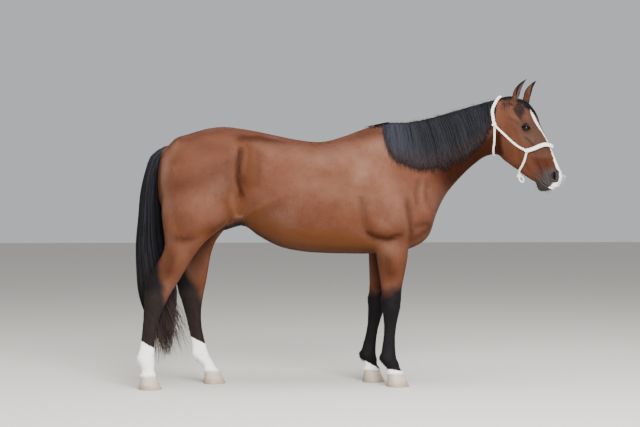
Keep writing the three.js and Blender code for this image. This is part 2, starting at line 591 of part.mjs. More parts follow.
for (const piece of halterRopes) {
  add(`halter_${piece.name}`, withKnots(piece, 0).subtract(roped), whiteRope);
  roped = roped.add(withKnots(piece, gap));
}

// Mane: the neck's own form grown by the mane's depth, kept where the outline is, and open on the left.
const maneSlab = solidOf(slab(maneOutline, maneReach.right, maneReach.left));
add('mane', trunkForm(maneDepth).intersect(maneSlab).subtract(roped), longHair);

// Tail: one closed mass, clear of the rump and the legs.
const tailForm = form(tailStations, { rings: 17, around: 10, domes: [0, 8], domeRings: 1, facing: -1 });
let tail = solidOf(tailForm).subtract(trunkForm(gap));
for (const leg of legs.filter(({ kind }) => kind === 'hindleg')) tail = tail.subtract(legSolid(leg, gap));
add('tail', tail, longHair);

// The frame's origin is the middle of the horse's box, on the floor.
horse.scale.setScalar(scale);
const middle = new THREE.Box3().setFromObject(horse).getCenter(new THREE.Vector3());
horse.position.set(-middle.x, -middle.y, 0);
const model = new THREE.Group();
model.add(horse);

export default model;
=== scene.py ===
# A bay riding horse standing still, its head turned to its right, in a rope halter: skin, coat, long hair,
# hooves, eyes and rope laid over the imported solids. Shapes are worked out in millimetres as the solids are,
# and moved into the frame and into metres when each mesh is made.
import math

import bmesh
import bpy
import numpy as np
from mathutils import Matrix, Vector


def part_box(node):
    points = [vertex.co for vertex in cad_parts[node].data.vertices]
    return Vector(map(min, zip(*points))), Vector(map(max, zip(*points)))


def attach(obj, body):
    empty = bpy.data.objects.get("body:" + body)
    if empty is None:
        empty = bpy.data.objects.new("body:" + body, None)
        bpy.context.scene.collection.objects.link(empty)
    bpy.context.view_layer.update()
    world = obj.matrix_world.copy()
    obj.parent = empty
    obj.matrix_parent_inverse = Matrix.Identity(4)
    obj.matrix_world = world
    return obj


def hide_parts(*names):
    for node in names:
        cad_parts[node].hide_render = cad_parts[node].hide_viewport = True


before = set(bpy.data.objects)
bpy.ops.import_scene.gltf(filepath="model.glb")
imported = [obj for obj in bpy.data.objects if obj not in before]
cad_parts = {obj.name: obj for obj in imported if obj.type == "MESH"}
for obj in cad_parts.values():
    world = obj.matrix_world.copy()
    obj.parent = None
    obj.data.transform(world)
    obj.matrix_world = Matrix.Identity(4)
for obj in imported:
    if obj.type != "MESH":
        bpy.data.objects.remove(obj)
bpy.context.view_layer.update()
chance = np.random.default_rng(11)


def many(count):
    return count


# The same stations as the solids: top [x, z], bottom [x, z], half width, y, crest, keel.
trunkStations = np.array([
    [-1100, 1412, -1108, 1040, 172, 0, 0.50, 0.50],
    [-1052, 1466, -1056, 960, 222, 0, 0.52, 0.46],
    [-950, 1505, -955, 925, 256, 0, 0.50, 0.46],
    [-850, 1534, -850, 915, 270, 0, 0.47, 0.50],
    [-755, 1545, -745, 925, 272, 0, 0.44, 0.50],
    [-650, 1533, -640, 952, 270, 0, 0.38, 0.55],
    [-540, 1515, -545, 890, 262, 0, 0.42, 0.52],
    [-420, 1490, -420, 826, 280, 0, 0.50, 0.50],
    [-290, 1466, -290, 797, 298, 0, 0.55, 0.50],
    [-160, 1459, -150, 786, 300, 0, 0.60, 0.49],
    [-20, 1497, -10, 783, 284, 0, 0.70, 0.48],
    [120, 1549, 125, 782, 260, 0, 0.86, 0.45],
    [240, 1569, 255, 788, 246, 0, 0.96, 0.42],
    [330, 1568, 378, 818, 230, 0, 0.96, 0.40],
    [420, 1580, 468, 880, 200, 0, 0.92, 0.38],
    [505, 1600, 517, 1010, 152, 0, 0.85, 0.40],
    [590, 1625, 578, 1130, 114, 0, 0.70, 0.43],
    [680, 1651, 664, 1234, 93, -4, 0.60, 0.46],
    [770, 1677, 752, 1318, 81, -10, 0.55, 0.50],
    [850, 1699, 836, 1373, 75, -26, 0.52, 0.50],
    [925, 1716, 928, 1386, 62, -54, 0.50, 0.50],
])
headStations = np.array([
    [-70, 1709, -104, 1440, 73, 0, 0.50, 0.50],
    [0, 1726, -84, 1397, 81, 0, 0.48, 0.50],
    [62, 1725, -58, 1384, 87, 0, 0.42, 0.48],
    [110, 1704, -31, 1371, 94, 0, 0.35, 0.46],
    [146, 1670, 1, 1334, 102, 0, 0.28, 0.50],
    [174, 1628, 38, 1306, 107, 0, 0.25, 0.58],
    [199, 1579, 72, 1290, 99, 0, 0.26, 0.62],
    [226, 1528, 104, 1264, 83, 0, 0.32, 0.60],
    [253, 1480, 137, 1241, 68, 0, 0.36, 0.52],
    [277, 1432, 164, 1224, 57, 0, 0.38, 0.46],
    [297, 1386, 185, 1207, 50, 0, 0.40, 0.42],
    [316, 1340, 199, 1186, 50, 0, 0.42, 0.42],
    [335, 1296, 213, 1170, 55, 0, 0.44, 0.45],
    [350, 1258, 232, 1161, 54, 0, 0.42, 0.50],
    [350, 1228, 253, 1159, 46, 0, 0.42, 0.50],
    [338, 1203, 274, 1165, 34, 0, 0.45, 0.50],
])
# Swellings of the head: forward, sideways, height, reach along the face, reach across it, outward move.
headSwellings = np.array([
    [40, 88, 1430, 95, 95, 9],  # cheek muscle
    [172, 94, 1578, 42, 26, 13],  # brow ridge
    [135, 74, 1622, 30, 26, -8],  # hollow over the eye
    [176, 96, 1528, 26, 20, -5],  # eye socket
    [205, 78, 1440, 52, 18, 7],  # face crest
    [262, 45, 1380, 50, 26, -5],  # side of the nose
    [140, 48, 1300, 60, 24, -6],  # bars of the jaw
    [322, 46, 1255, 30, 24, 8],  # nostril
    [20, 0, 1318, 85, 24, -12],  # jaw channel
    [218, 0, 1165, 22, 26, 8],  # chin
    [185, 0, 1205, 18, 34, -6],  # chin groove
])
headTurn = math.radians(-30)
pollPlace = np.array([935.0, -60.0, 0.0])
eyeCentre = np.array([160.0, 91.0, 1531.0])
faceAlong = np.array([0.43, 0.0, -0.9]) / math.hypot(0.43, 0.9)

# A leg hangs on joints [x, y, z]; each station is the joint it leaves, the joint it goes to, how far along,
# and its reach in front, behind and to each side.
legJoints = {
    "foreleg_right": [[240, -128, 900], [239, -120, 500], [222, -118, 165], [264, -118, 74]],
    "foreleg_left": [[240, 128, 900], [186, 120, 500], [127, 118, 165], [148, 118, 72]],
    "hindleg_right": [[-905, -140, 1330], [-925, -150, 960], [-1140, -138, 560], [-1207, -140, 178],
                      [-1195, -142, 74]],
    "hindleg_left": [[-900, 140, 1330], [-905, 150, 960], [-947, 128, 560], [-888, 122, 168],
                     [-822, 120, 70]],
}
forelegStations = np.array([
    [0, -0.22, 96, 96, 62], [0, 0, 112, 108, 74], [0, 0.2, 102, 100, 72], [0, 0.37, 94, 90, 66],
    [0, 0.52, 84, 79, 60], [0, 0.68, 71, 70, 53], [0, 0.83, 62, 62, 48], [0, 0.93, 60, 60, 51],
    [0, 1, 59, 59, 53], [1, 0.13, 55, 54, 50], [1, 0.27, 46, 46, 38], [1, 0.42, 39, 39, 30],
    [1, 0.58, 35, 38, 27], [1, 0.74, 37, 42, 28], [1, 0.88, 42, 47, 34], [1, 1, 50, 54, 42],
    [2, 0.3, 50, 50, 41], [2, 0.62, 44, 43, 37], [2, 1, 49, 48, 46],
])
hindlegStations = np.array([
    [0, 0, 150, 140, 70], [0, 0.3, 190, 176, 104], [0, 0.55, 206, 196, 119], [0, 0.78, 204, 203, 119],
    [1, 0, 186, 190, 110], [1, 0.12, 152, 156, 98], [1, 0.24, 121, 124, 86], [1, 0.38, 103, 100, 74],
    [1, 0.54, 93, 95, 64], [1, 0.7, 90, 99, 55], [1, 0.84, 87, 98, 49], [1, 0.93, 83, 91, 50],
    [1, 1, 78, 83, 52], [2, 0.12, 64, 73, 50], [2, 0.25, 48, 66, 42], [2, 0.38, 38, 59, 35],
    [2, 0.52, 32, 54, 31], [2, 0.68, 34, 50, 29], [2, 0.84, 40, 49, 34], [2, 1, 50, 53, 42],
    [3, 0.3, 47, 48, 40], [3, 0.62, 42, 41, 36], [3, 1, 46, 46, 44],
])
hoofStations = np.array([[1.04, 46, 45, 43], [0.9, 53, 49, 50], [0.45, 69, 52, 57], [0, 84, 55, 64]])
hoofHeight = 72
tailStations = np.array([
    [-1062, 1452, -1062, 1392, 26], [-1128, 1424, -1092, 1372, 33], [-1183, 1372, -1110, 1338, 40],
    [-1214, 1286, -1122, 1272, 45], [-1244, 1160, -1128, 1150, 50], [-1258, 1010, -1118, 1000, 55],
    [-1272, 850, -1098, 850, 58], [-1270, 700, -1056, 710, 54], [-1255, 540, -1032, 560, 48],
    [-1205, 400, -1040, 410, 40], [-1138, 270, -1054, 275, 28], [-1103, 165, -1072, 165, 11],
])

skinSizes = {
    "coatDepth": 2.5,        # mm that the skin lies inside the solids
    "voxel": 4.0,
    "triangles": many(152000),
    "relaxRounds": 14,
}


# Each sRGB channel c becomes c / 12.92 below 0.04045, else ((c + 0.055) / 1.055) to the power 2.4.
def linear(colour):
    parts = np.array([int(colour[k:k + 2], 16) / 255 for k in (1, 3, 5)])
    parts = np.where(parts <= 0.04045, parts / 12.92, ((parts + 0.055) / 1.055) ** 2.4)
    return (*[float(c) for c in parts], 1.0)


# 0 below the low edge, 1 above the high edge, and 3u^2 - 2u^3 between them.
def ease(value, low, high):
    u = np.clip((value - low) / (high - low), 0, 1)
    return u * u * (3 - 2 * u)


# A bell: e to the minus sum of the squares of the shares given, 1 where all are 0.
def bell(*shares):
    return np.exp(-sum(share ** 2 for share in shares))


# Vectors divided by their lengths.
def unit(vectors):
    return vectors / np.maximum(np.linalg.norm(vectors, axis=-1, keepdims=True), 1e-9)


# A point turned by an angle about the upright axis: x cos - y sin, x sin + y cos.
def turned(points, angle):
    c, s = math.cos(angle), math.sin(angle)
    x, y = points[..., 0], points[..., 1]
    return np.stack([x * c - y * s, x * s + y * c, points[..., 2]], -1)


# From the head's own upright plane to the horse's place, and back.
def fromHead(points):
    return turned(points, headTurn) + pollPlace


# The way back: the place is taken off first, then the turn.
def toHead(points):
    return turned(points - pollPlace, -headTurn)


# How far the frame is from the drawn millimetres, read off an eye whose place is known in both.
low, high = [np.array(corner) * 1000 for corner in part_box("eye_left")]
shift = (low + high) / 2 - fromHead(eyeCentre)


# A mesh object from corners in drawn millimetres and faces given as one run of corner numbers with sizes.
def makeMesh(name, corners, loops, sizes, material=None):
    mesh = bpy.data.meshes.new(name)
    mesh.vertices.add(len(corners))
    mesh.loops.add(len(loops))
    mesh.loops.foreach_set("vertex_index", np.asarray(loops, np.int32).ravel())
    mesh.polygons.add(len(sizes))
    starts = np.concatenate([[0], np.cumsum(sizes)[:-1]]).astype(np.int32)
    mesh.polygons.foreach_set("loop_start", starts)
    setCorners(mesh, corners)
    mesh.update(calc_edges=True)
    if material:
        mesh.materials.append(material)
    return smoothPiece(name, mesh)


# An object for a mesh, with smooth faces.
def smoothPiece(name, mesh):
    mesh.polygons.foreach_set("use_smooth", np.ones(len(mesh.polygons), bool))
    piece = bpy.data.objects.new(name, mesh)
    bpy.context.scene.collection.objects.link(piece)
    return piece


# An array read off a mesh, some numbers for each of its items.
def readOff(items, key, width, kind=np.float32):
    out = np.empty(len(items) * width, kind)
    items.foreach_get(key, out)
    return out.reshape(-1, width)


# Corners of a mesh in drawn millimetres.
def cornersOf(mesh):
    return readOff(mesh.vertices, "co", 3).astype(float) * 1000 - shift


# The two corners of each edge.
def edgesOf(mesh):
    return readOff(mesh.edges, "vertices", 2, np.int32)


# The unit normal at each corner.
def normalsOf(mesh):
    return readOff(mesh.vertex_normals, "vector", 3).astype(float)


# Corners in drawn millimetres go into a mesh: moved by the shift and divided into metres.
def setCorners(mesh, corners):
    mesh.vertices.foreach_set("co", ((corners + shift) / 1000).astype(np.float32).ravel())
    mesh.update()


# The mean of each corner's neighbours: sums over the edges divided by how many edges meet there.
def neighbourMean(values, edges, count):
    total = np.zeros_like(values)
    for k in range(values.shape[1]):
        total[:, k] = (np.bincount(edges[:, 0], values[edges[:, 1], k], count)
                       + np.bincount(edges[:, 1], values[edges[:, 0], k], count))
    meet = np.bincount(edges.ravel(), minlength=count)
    return total / np.maximum(meet, 1)[:, None]


# Each corner moves part of the way to the mean of its neighbours, then a little further back, so that
# the form is kept; weight says how much of the first move each corner takes.
def relax(corners, edges, rounds, weight=1.0, back=0.0):
    weight = np.broadcast_to(np.asarray(weight, float), len(corners))[:, None]
    for _ in range(rounds):
        corners = corners + 0.5 * weight * (neighbourMean(corners, edges, len(corners)) - corners)
        if back:
            corners = corners - back * weight * (neighbourMean(corners, edges, len(corners)) - corners)
    return corners


# Values between stations: a cubic through each pair whose end slopes are those of the parabola through the
# station and its neighbours.
def alongStations(table, fractions, place):
    rise = np.diff(table, axis=0) / np.diff(fractions)[:, None]
    before, after = np.diff(fractions)[:-1, None], np.diff(fractions)[1:, None]
    slope = np.vstack([rise[:1], (rise[:-1] * after + rise[1:] * before) / (before + after), rise[-1:]])
    k = np.clip(np.searchsorted(fractions, place, side="left") - 1, 0, len(fractions) - 2)
    span = (fractions[k + 1] - fractions[k])[:, None]
    u = ((place - fractions[k]))[:, None] / span
    return ((2 * u ** 3 - 3 * u ** 2 + 1) * table[k] + (u ** 3 - 2 * u ** 2 + u) * span * slope[k]
            + (3 * u ** 2 - 2 * u ** 3) * table[k + 1] + (u ** 3 - u ** 2) * span * slope[k + 1])


# How far along the mid-line each station lies, 0 at the first and 1 at the last.
def fractionsOf(table):
    middle = (table[:, 0:2] + table[:, 2:4]) / 2
    run = np.concatenate([[0], np.cumsum(np.hypot(*np.diff(middle, axis=0).T))])
    return run / run[-1]


# A point of a section. The turn runs from 0 at the top, round by the left side, to a full circle. The half
# width goes as down^crest (1 - down)^keel, scaled so that its widest is the station's own.
def sectionPoints(table, place, turn, grow=0.0, shrink=1.0, push=0.0):
    m = alongStations(table, fractionsOf(table), place)
    top, bottom = m[:, 0:2], m[:, 2:4]
    up = top - bottom
    up = up / np.linalg.norm(up, axis=1, keepdims=True)
    grow, shrink, push = [np.broadcast_to(v, len(m))[:, None] for v in (grow, shrink, push)]
    top, bottom = top + up * grow, bottom - up * grow
    crest, keel = m[:, 6], m[:, 7]
    down = (1 - np.cos(turn)) / 2
    widest = crest / (crest + keel)
    full = down ** crest * (1 - down) ** keel / (widest ** crest * (1 - widest) ** keel)
    middle = (top + bottom) / 2
    spot = middle + (top + (bottom - top) * down[:, None] - middle) * shrink
    spot = spot + np.stack([up[:, 1], -up[:, 0]], -1) * push
    side = np.sign(np.sin(turn)) * (m[:, 4] + grow[:, 0]) * full * shrink[:, 0]
    return np.stack([spot[:, 0], m[:, 5] + side, spot[:, 1]], -1)


# Angles evenly round a circle.
def circle(around):
    return np.arange(around) / around * 2 * math.pi


# A closed form through the stations: rings of section points with a dome of smaller rings at each end.
def loft(table, rings, around, domes=(0, 0), domeRings=5, grow=0.0, facing=1):
    row = np.arange(1, rings + 2 * domeRings)
    place = np.clip((row - domeRings) / rings, 0, 1)
    inDome = np.where(row < domeRings, domeRings - row, np.maximum(0, row - domeRings - rings))
    tilt = inDome / domeRings * math.pi / 2
    push = facing * np.sin(tilt) * np.where(row < domeRings, -(domes[0] + grow), domes[1] + grow)
    turn = circle(around)
    rows, turns = [grid.ravel() for grid in np.meshgrid(np.arange(len(row)), turn, indexing="ij")]
    body = sectionPoints(table, place[rows], turns, grow, np.cos(tilt)[rows], push[rows])
    ends = sectionPoints(table, np.array([0.0, 1.0]), np.zeros(2), grow, 0.0,
                         facing * np.array([-(domes[0] + grow), domes[1] + grow]))
    return closeRows(body, ends, len(row), around)


# Faces of a closed tube: a quad between each two neighbours on two rows, and a fan to a point at each end.
def tubeFaces(rows, around):
    r, c = [grid.ravel() for grid in np.meshgrid(np.arange(rows - 1), np.arange(around), indexing="ij")]
    d = (c + 1) % around
    quads = np.stack([r * around + c, (r + 1) * around + c, (r + 1) * around + d, r * around + d], -1)
    c, d = np.arange(around), (np.arange(around) + 1) % around
    first = np.stack([c, d, np.full(around, rows * around)], -1)
    base = (rows - 1) * around
    last = np.stack([base + d, base + c, np.full(around, rows * around + 1)], -1)
    return quads, np.concatenate([first, last])


# Rings of corners and two end corners as one closed tube, with a fan from each end to its ring.
def closeRows(body, ends, rows, around):
    quads, fans = tubeFaces(rows, around)
    sizes = np.repeat([4, 3], [len(quads), len(fans)])
    return np.vstack([body, ends]), np.concatenate([quads.ravel(), fans.ravel()]), sizes


# Several closed forms as one set of corners and faces.
def joined(forms):
    offset, corners, loops, sizes = 0, [], [], []
    for c, l, s in forms:
        corners.append(c)
        loops.append(l + offset)
        sizes.append(s)
        offset += len(c)
    return np.vstack(corners), np.concatenate(loops), np.concatenate(sizes)


# A grid of points as a closed tube: each row is a ring, and each end closes on its ring's middle.
def closedGrid(grid):
    ends = np.stack([grid[0].mean(0), grid[-1].mean(0)])
    return closeRows(grid.reshape(-1, 3), ends, *grid.shape[:2])


# A leg's stations in the way of the trunk's: joint + (next joint - joint) * along, with the reach about it.
def legTable(stations, joints, extra=()):
    joints = np.array(joints, float)
    rows = []
    for part, along, front, back, half in [*stations, *extra]:
        x, y, z = joints[int(part)] + (joints[int(part) + 1] - joints[int(part)]) * along
        rows.append([x + front, z, x - back, z, half, y, 0.5, 0.5])
    return np.array(rows)


legTables = {name: legTable(forelegStations if "fore" in name else hindlegStations, joints)
             for name, joints in legJoints.items()}


# The skin: the same forms as the solids, a coat's depth inside them, grown together into one surface.
earShape = {
    "roots": {"left": [112, 58, 1700], "right": [78, -60, 1696]},
    "tips": {"left": [163, 80, 1829], "right": [146, -66, 1826]},
    "turn": {"left": 24, "right": -16},  # degrees that each cup turns outwards about its own axis
    "width": 36, "depth": 25, "wall": 5.2, "bend": 9, "tipCurl": 12,
    # the grid on which forms grow together is too coarse for a thin ear, so it is drawn larger for that
    "magnify": 2.2, "spread": 75, "growFrom": 22, "growTo": 75, "own": 56,
}


# The middle line, outward and forward directions of an ear, in the head's plane: the axis runs from root to
# tip, outward lies across it, and forward is where the cup opens.
def earFrame(side):
    sign = 1 if side == "left" else -1
    root, tip = [np.array(earShape[key][side], float) for key in ("roots", "tips")]
    axis = tip - root
    outward = np.array([-0.3, sign * 0.95, 0])
    outward = unit(outward - outward @ axis * axis / (axis @ axis))
    forward = unit(sign * np.cross(outward, axis))
    face = math.radians(earShape["turn"][side])
    turnedOut = outward * math.cos(face) - forward * math.sin(face)
    return root, axis, turnedOut, forward * math.cos(face) + outward * math.sin(face)


# Where points lie in an ear: height as a share, mm across and forward of its bent middle line, and the half
# width, depth and opening half angle of the ellipse there.
def earMeasures(rise):
    leaf = np.sqrt(np.clip(1 - (2 * np.clip(rise, 0.2, 1) - 1) ** 2, 0, 1)) ** 0.9
    leaf = np.where(rise < 0.5, np.maximum(leaf, 0.74 + 0.28 * rise), leaf)
    taper = 1.15 - 0.62 * rise
    width = (earShape["width"] * taper * leaf - 2.5) * (0.5 + 0.5 * ease(rise, -0.2, 0.3))
    depth = earShape["depth"] * taper * leaf - 1.5
    opening = np.radians(np.interp(rise, [-0.2, 0.1, 0.3, 0.6, 0.85, 1], [165, 160, 128, 105, 90, 60]))
    share = np.clip(rise, 0, 1)
    bend = -earShape["bend"] * np.sin(share * math.pi) + earShape["tipCurl"] * share ** 3
    return width, depth, opening, bend


# Where points lie in an ear: the share of its height, found along its axis, the distances across and
# behind that axis, and the ear's own measures there.
def inEar(local, side):
    root, axis, outward, forward = earFrame(side)
    rise = (local - root) @ axis / (axis @ axis)
    width, depth, opening, bend = earMeasures(np.clip(rise, 0, 0.99))
    middle = local - root - rise[:, None] * axis
    wide, deep = middle @ outward, middle @ forward - bend
    return rise, wide, deep, np.maximum(width, 3), np.maximum(depth, 3), opening


# An ear is a leaf rolled into a cup: at each height a crescent whose outer edge goes round the back of an
# ellipse and whose inner edge comes back a wall's thickness inside it, the ellipse as wide as a leaf there.
def earForm(side, rings=44, around=40):
    root, axis, outward, forward = earFrame(side)
    rise = np.linspace(-0.16, 0.985, rings)
    width, depth, opening, bend = earMeasures(rise)
    wall = np.minimum(earShape["wall"] * np.interp(rise, [0, 0.6, 1], [1.1, 0.9, 0.75]), 0.8 * width)
    hollow = ease(rise, 0.06, 0.24)
    s = np.arange(around) / around
    outer = s < 0.5
    swing = np.where(outer, -1 + 4 * s, 3 - 4 * s)[None]
    phi = swing * opening[:, None]
    closed = opening[:, None] + (2 * math.pi - 2 * opening[:, None]) * (2 * s[None] - 1)
    rim = 1 - 0.35 * np.abs(swing) ** 3
    inW, inD = [np.where(outer[None], size[:, None], size[:, None] - wall[:, None] * rim)
                for size in (width, depth)]
    cup = np.stack([inW * np.sin(phi), -inD * np.cos(phi)], -1)
    plug = np.stack([width[:, None] * np.sin(closed), -depth[:, None] * np.cos(closed)], -1)
    mix = np.where(outer[None], 1.0, hollow[:, None])[..., None]
    flat = cup * mix + plug * (1 - mix)
    middle = root + axis * rise[:, None] + forward * bend[:, None]
    grid = middle[:, None] + outward * flat[..., :1] + forward * flat[..., 1:]
    corners, loops, sizes = closedGrid(grid)
    return fromHead(corners), loops, sizes


# Corner normals of a closed form before it is a mesh: the area vectors of the faces that meet at each.
def formNormals(corners, loops, sizes):
    starts = np.concatenate([[0], np.cumsum(sizes)[:-1]])
    a, b, c = [corners[loops[starts + k]] for k in range(3)]
    flat = np.cross(b - a, c - a)
    each = np.repeat(flat, sizes, axis=0)
    return unit(np.stack([np.bincount(loops, each[:, k], len(corners)) for k in range(3)], -1))


# The head's swellings move its surface out by out * exp(-(lengthwise / reach)^2 - (crosswise / across)^2).
def swell(corners, normals, rows):
    out = np.zeros(len(corners))
    for x, y, z, reach, across, move in rows:
        for side in ([1] if y == 0 else [1, -1]):
            offset = corners - np.array([x, side * y, z])
            lengthwise = offset @ faceAlong
            crosswise = np.linalg.norm(offset - lengthwise[:, None] * faceAlong, axis=1)
            out += move * bell(lengthwise / reach, crosswise / across)
    return corners + normals * out[:, None]


# The head's lofted form, grown by some mm, with the swellings added along its normals.
def headForm(grow, rings=90, around=72):
    corners, loops, sizes = loft(headStations, rings, around, (6, 9), 8, grow)
    return swell(corners, formNormals(corners, loops, sizes), headSwellings), loops, sizes


# The closed forms that become the skin, each the coat's depth inside its solid.
def skinForms():
    inside = -skinSizes["coatDepth"]
    corners, loops, sizes = headForm(inside)
    forms = [loft(trunkStations, 200, 96, (44, 6), 8, inside), (fromHead(corners), loops, sizes)]
    for name, joints in legJoints.items():
        stations = forelegStations if "fore" in name else hindlegStations
        last = len(joints) - 2
        table = legTable(stations, joints, [[last, 1.07, 44, 43, 41]])
        forms.append(loft(table, 130, 48, (20, 0), 5, inside, -1))
    forms += [earForm(side) for side in ("left", "right")]
    return forms


# Thin ears need a finer grid than the body: above its root each ear is drawn larger by a growing share before
# the surfaces grow together, and drawn back to size afterwards. The share goes from 1 to magnify by height.
def magnified(points, back=False):
    points = toHead(points)
    for side in ("left", "right"):
        root, axis, _, _ = earFrame(side)
        length = np.linalg.norm(axis)
        axis = axis / length
        aside = np.array([0, 1.0 if side == "left" else -1.0, 0])
        aside -= aside @ axis * axis
        height = np.linspace(0, 3 * length, 900)
        growth = earShape["growFrom"], earShape["growTo"]
        share = 1 + (earShape["magnify"] - 1) * ease(height, *growth)
        offset = points - root
        high = offset @ axis
        if back:
            high = np.interp(high, height * share, height)
        factor = np.interp(high, height, share)[:, None]
        move = aside * (earShape["spread"] * ease(high, *growth))[:, None]
        drawn = (offset - move) / factor if back else offset
        away = np.linalg.norm(drawn - (drawn @ axis)[:, None] * axis, axis=1)
        own = (high > growth[0]) & (away < earShape["own"])
        changed = drawn if back else offset * factor + move
        points[own] = (root + changed)[own]
    return fromHead(points)


# The forms become one surface: a grid of voxels finds what is inside any of them, and its skin is drawn
# round that.
def grownTogether(forms, voxel):
    corners, loops, sizes = joined(forms)
    piece = makeMesh("skin_forms", magnified(corners), loops, sizes)
    grow = piece.modifiers.new("together", "REMESH")
    grow.mode = "VOXEL"
    grow.voxel_size = voxel / 1000
    return applied(piece, "skin")


# A piece's mesh with its modifiers worked in, as a new object; the old one goes.
def applied(piece, name):
    graph = bpy.context.evaluated_depsgraph_get()
    mesh = bpy.data.meshes.new_from_object(piece.evaluated_get(graph))
    old = piece.data
    bpy.data.objects.remove(piece)
    bpy.data.meshes.remove(old)
    mesh.name = name
    return smoothPiece(name, mesh)


# Distance from points in a plane to a line of several straight parts, how far along the nearest place is
# (0 to 1), and on which side of the line the point lies.
def toLine(points, line):
    line = np.reshape(line, (-1, 2)).astype(float)
    lengths = np.hypot(*np.diff(line, axis=0).T)
    total, run = lengths.sum(), 0.0
    best = np.full(len(points), 1e9)
    along, side = np.zeros(len(points)), np.zeros(len(points))
    for k, length in enumerate(lengths):
        direction = (line[k + 1] - line[k]) / length
        offset = points - line[k]
        t = np.clip(offset @ direction, 0, length)
        away = offset - t[:, None] * direction
        far = np.hypot(*away.T)
        closer = far < best
        best[closer] = far[closer]
        along[closer] = ((run + t) / total)[closer]
        side[closer] = (direction[0] * offset[:, 1] - direction[1] * offset[:, 0])[closer]
        run += length
    return best, along, np.sign(side)


# Muscle lines of the body seen from the side: the line [x, z, x, z, ...], its width, how far the surface
# moves (in if negative), how high its shoulders stand beside it, and whose side it is on (0 for both).
bodyLines = [
    ([-640, 1450, -660, 1366, -668, 1300, -664, 1220, -652, 1140], 34, -12, 0, 0),  # flank hollow
    ([-585, 1434, -572, 1336, -575, 1232, -600, 1150], 56, -8, 0, 0),  # its front slope
    ([-690, 1445, -708, 1372, -714, 1300, -712, 1220], 36, 7, 0, 0),  # edge of the haunch
    ([-655, 1006, -582, 1050, -520, 1085, -455, 1112], 17, 7, 0, 0),  # flank fold
    ([-610, 985, -534, 1030, -459, 1060, -371, 1080], 34, -5, 0, 0),  # under the fold
    ([-718, 1160, -706, 1074, -682, 1006], 18, 6, 0, 0),  # fold of the thigh
    ([-752, 1120, -742, 1050, -716, 1000], 22, -4, 0, 0),
    ([44, 1140, 58, 1040, 72, 955, 98, 912, 136, 885, 205, 874, 274, 900], 28, -10, 0.2, 0),  # elbow
    ([158, 992, 205, 974, 228, 938], 10, -3.5, 0.3, 0),  # over its muscle
    ([318, 1120, 326, 1027, 345, 929, 350, 860], 21, -8, 0.3, 0),  # front of the arm
    ([350, 950, 419, 962, 484, 955], 20, -6, 0.2, 0),  # under the shoulder point
    ([348, 856, 421, 903, 487, 948], 17, -9, 0.25, 0),  # breast crease
    ([801, 1412, 692, 1300, 602, 1216, 547, 1127, 512, 1041], 15, -6, 0.3, 0),  # jugular groove
    ([830, 1470, 700, 1370, 601, 1297, 520, 1190, 456, 1118], 42, 6, 0, 0),  # long neck muscle
    ([442, 1236, 430, 1150, 440, 1078], 16, -5.5, 0.3, 0),  # grooves before
    ([392, 1240, 370, 1145, 375, 1086, 392, 1030], 18, -5.5, 0.3, 0),  # the shoulder
    ([120, 1480, 190, 1380, 260, 1260, 318, 1130], 30, 4, 0, 0),  # ridge of the blade
    ([90, 1440, 70, 1340, 66, 1240], 44, -4, 0, 0),  # behind the shoulder
    ([-1099, 1190, -1071, 1092, -1044, 1023, -1016, 948, -1000, 890], 26, -5, 0.15, 0),  # back thigh groove
    ([-1036, 900, -990, 868, -950, 866, -904, 884, -840, 925, -794, 950], 24, -8, 0.2, 0),  # stifle crease
    ([-900, 1330, -860, 1260, -800, 1190], 60, -5, 0, 0),  # hollow of the croup
    ([-990, 1440, -960, 1300, -930, 1150], 60, 4, 0, 0),  # big thigh muscle
    ([-560, 1330, -505, 1219, -431, 1104, -316, 1000], 30, 4, 0, 0),  # last rib
    ([60, 880, -60, 862, -240, 868, -400, 912], 26, -3, 0, 0),  # milk vein groove
]
bodyBumps = [
    ([190, 958], 50, 42, 13),  # lower head of the triceps
    ([150, 1050], 60, 80, 7),  # long head of the triceps
    ([160, 914], 22, 18, 6),  # elbow
    ([-650, 1462], 40, 26, 10),  # point of the hip
    ([432, 1015], 46, 54, 11),  # point of the shoulder
    ([412, 1150], 18, 70, 4),  # fold before the shoulder
    ([-900, 985], 110, 80, 7),  # thigh over the stifle
    ([-812, 985], 44, 48, 8),  # stifle joint
    ([-1085, 1225], 44, 50, 7),  # point of the buttock
    ([-560, 1440], 70, 30, -4),  # hollow beside the loin
    ([60, 1450], 90, 60, -4),  # hollow behind the withers
]


# Each line moves the surface by move * exp(-(distance / width)^2), dying away at its ends, and its shoulders
# stand up again at one and a half widths; each bump by its height times the same bell in two directions.
# Only what faces sideways moves, so nothing under the belly or along the back is cut.
def sculptBody(corners, normals):
    out = np.zeros(len(corners))
    facing = ease(np.abs(normals[:, 1]), 0.15, 0.55)
    seen = corners[:, [0, 2]]
    for line, width, move, shoulder, side in bodyLines:
        box = np.reshape(line, (-1, 2))
        reach = 3.2 * width
        near = ((seen > box.min(0) - reach) & (seen < box.max(0) + reach)).all(1)
        if side:
            near &= corners[:, 1] * side > 0
        far, along, _ = toLine(seen[near], line)
        fade = ease(along, -0.02, 0.2) * ease(1 - along, -0.02, 0.2)
        shape = bell(far / width) - shoulder * bell((far - 1.7 * width) / (0.7 * width))
        out[near] += move * shape * fade * facing[near]
    for (x, z), wide, tall, move in bodyBumps:
        out += move * bell((seen[:, 0] - x) / wide, (seen[:, 1] - z) / tall) * facing
    return out


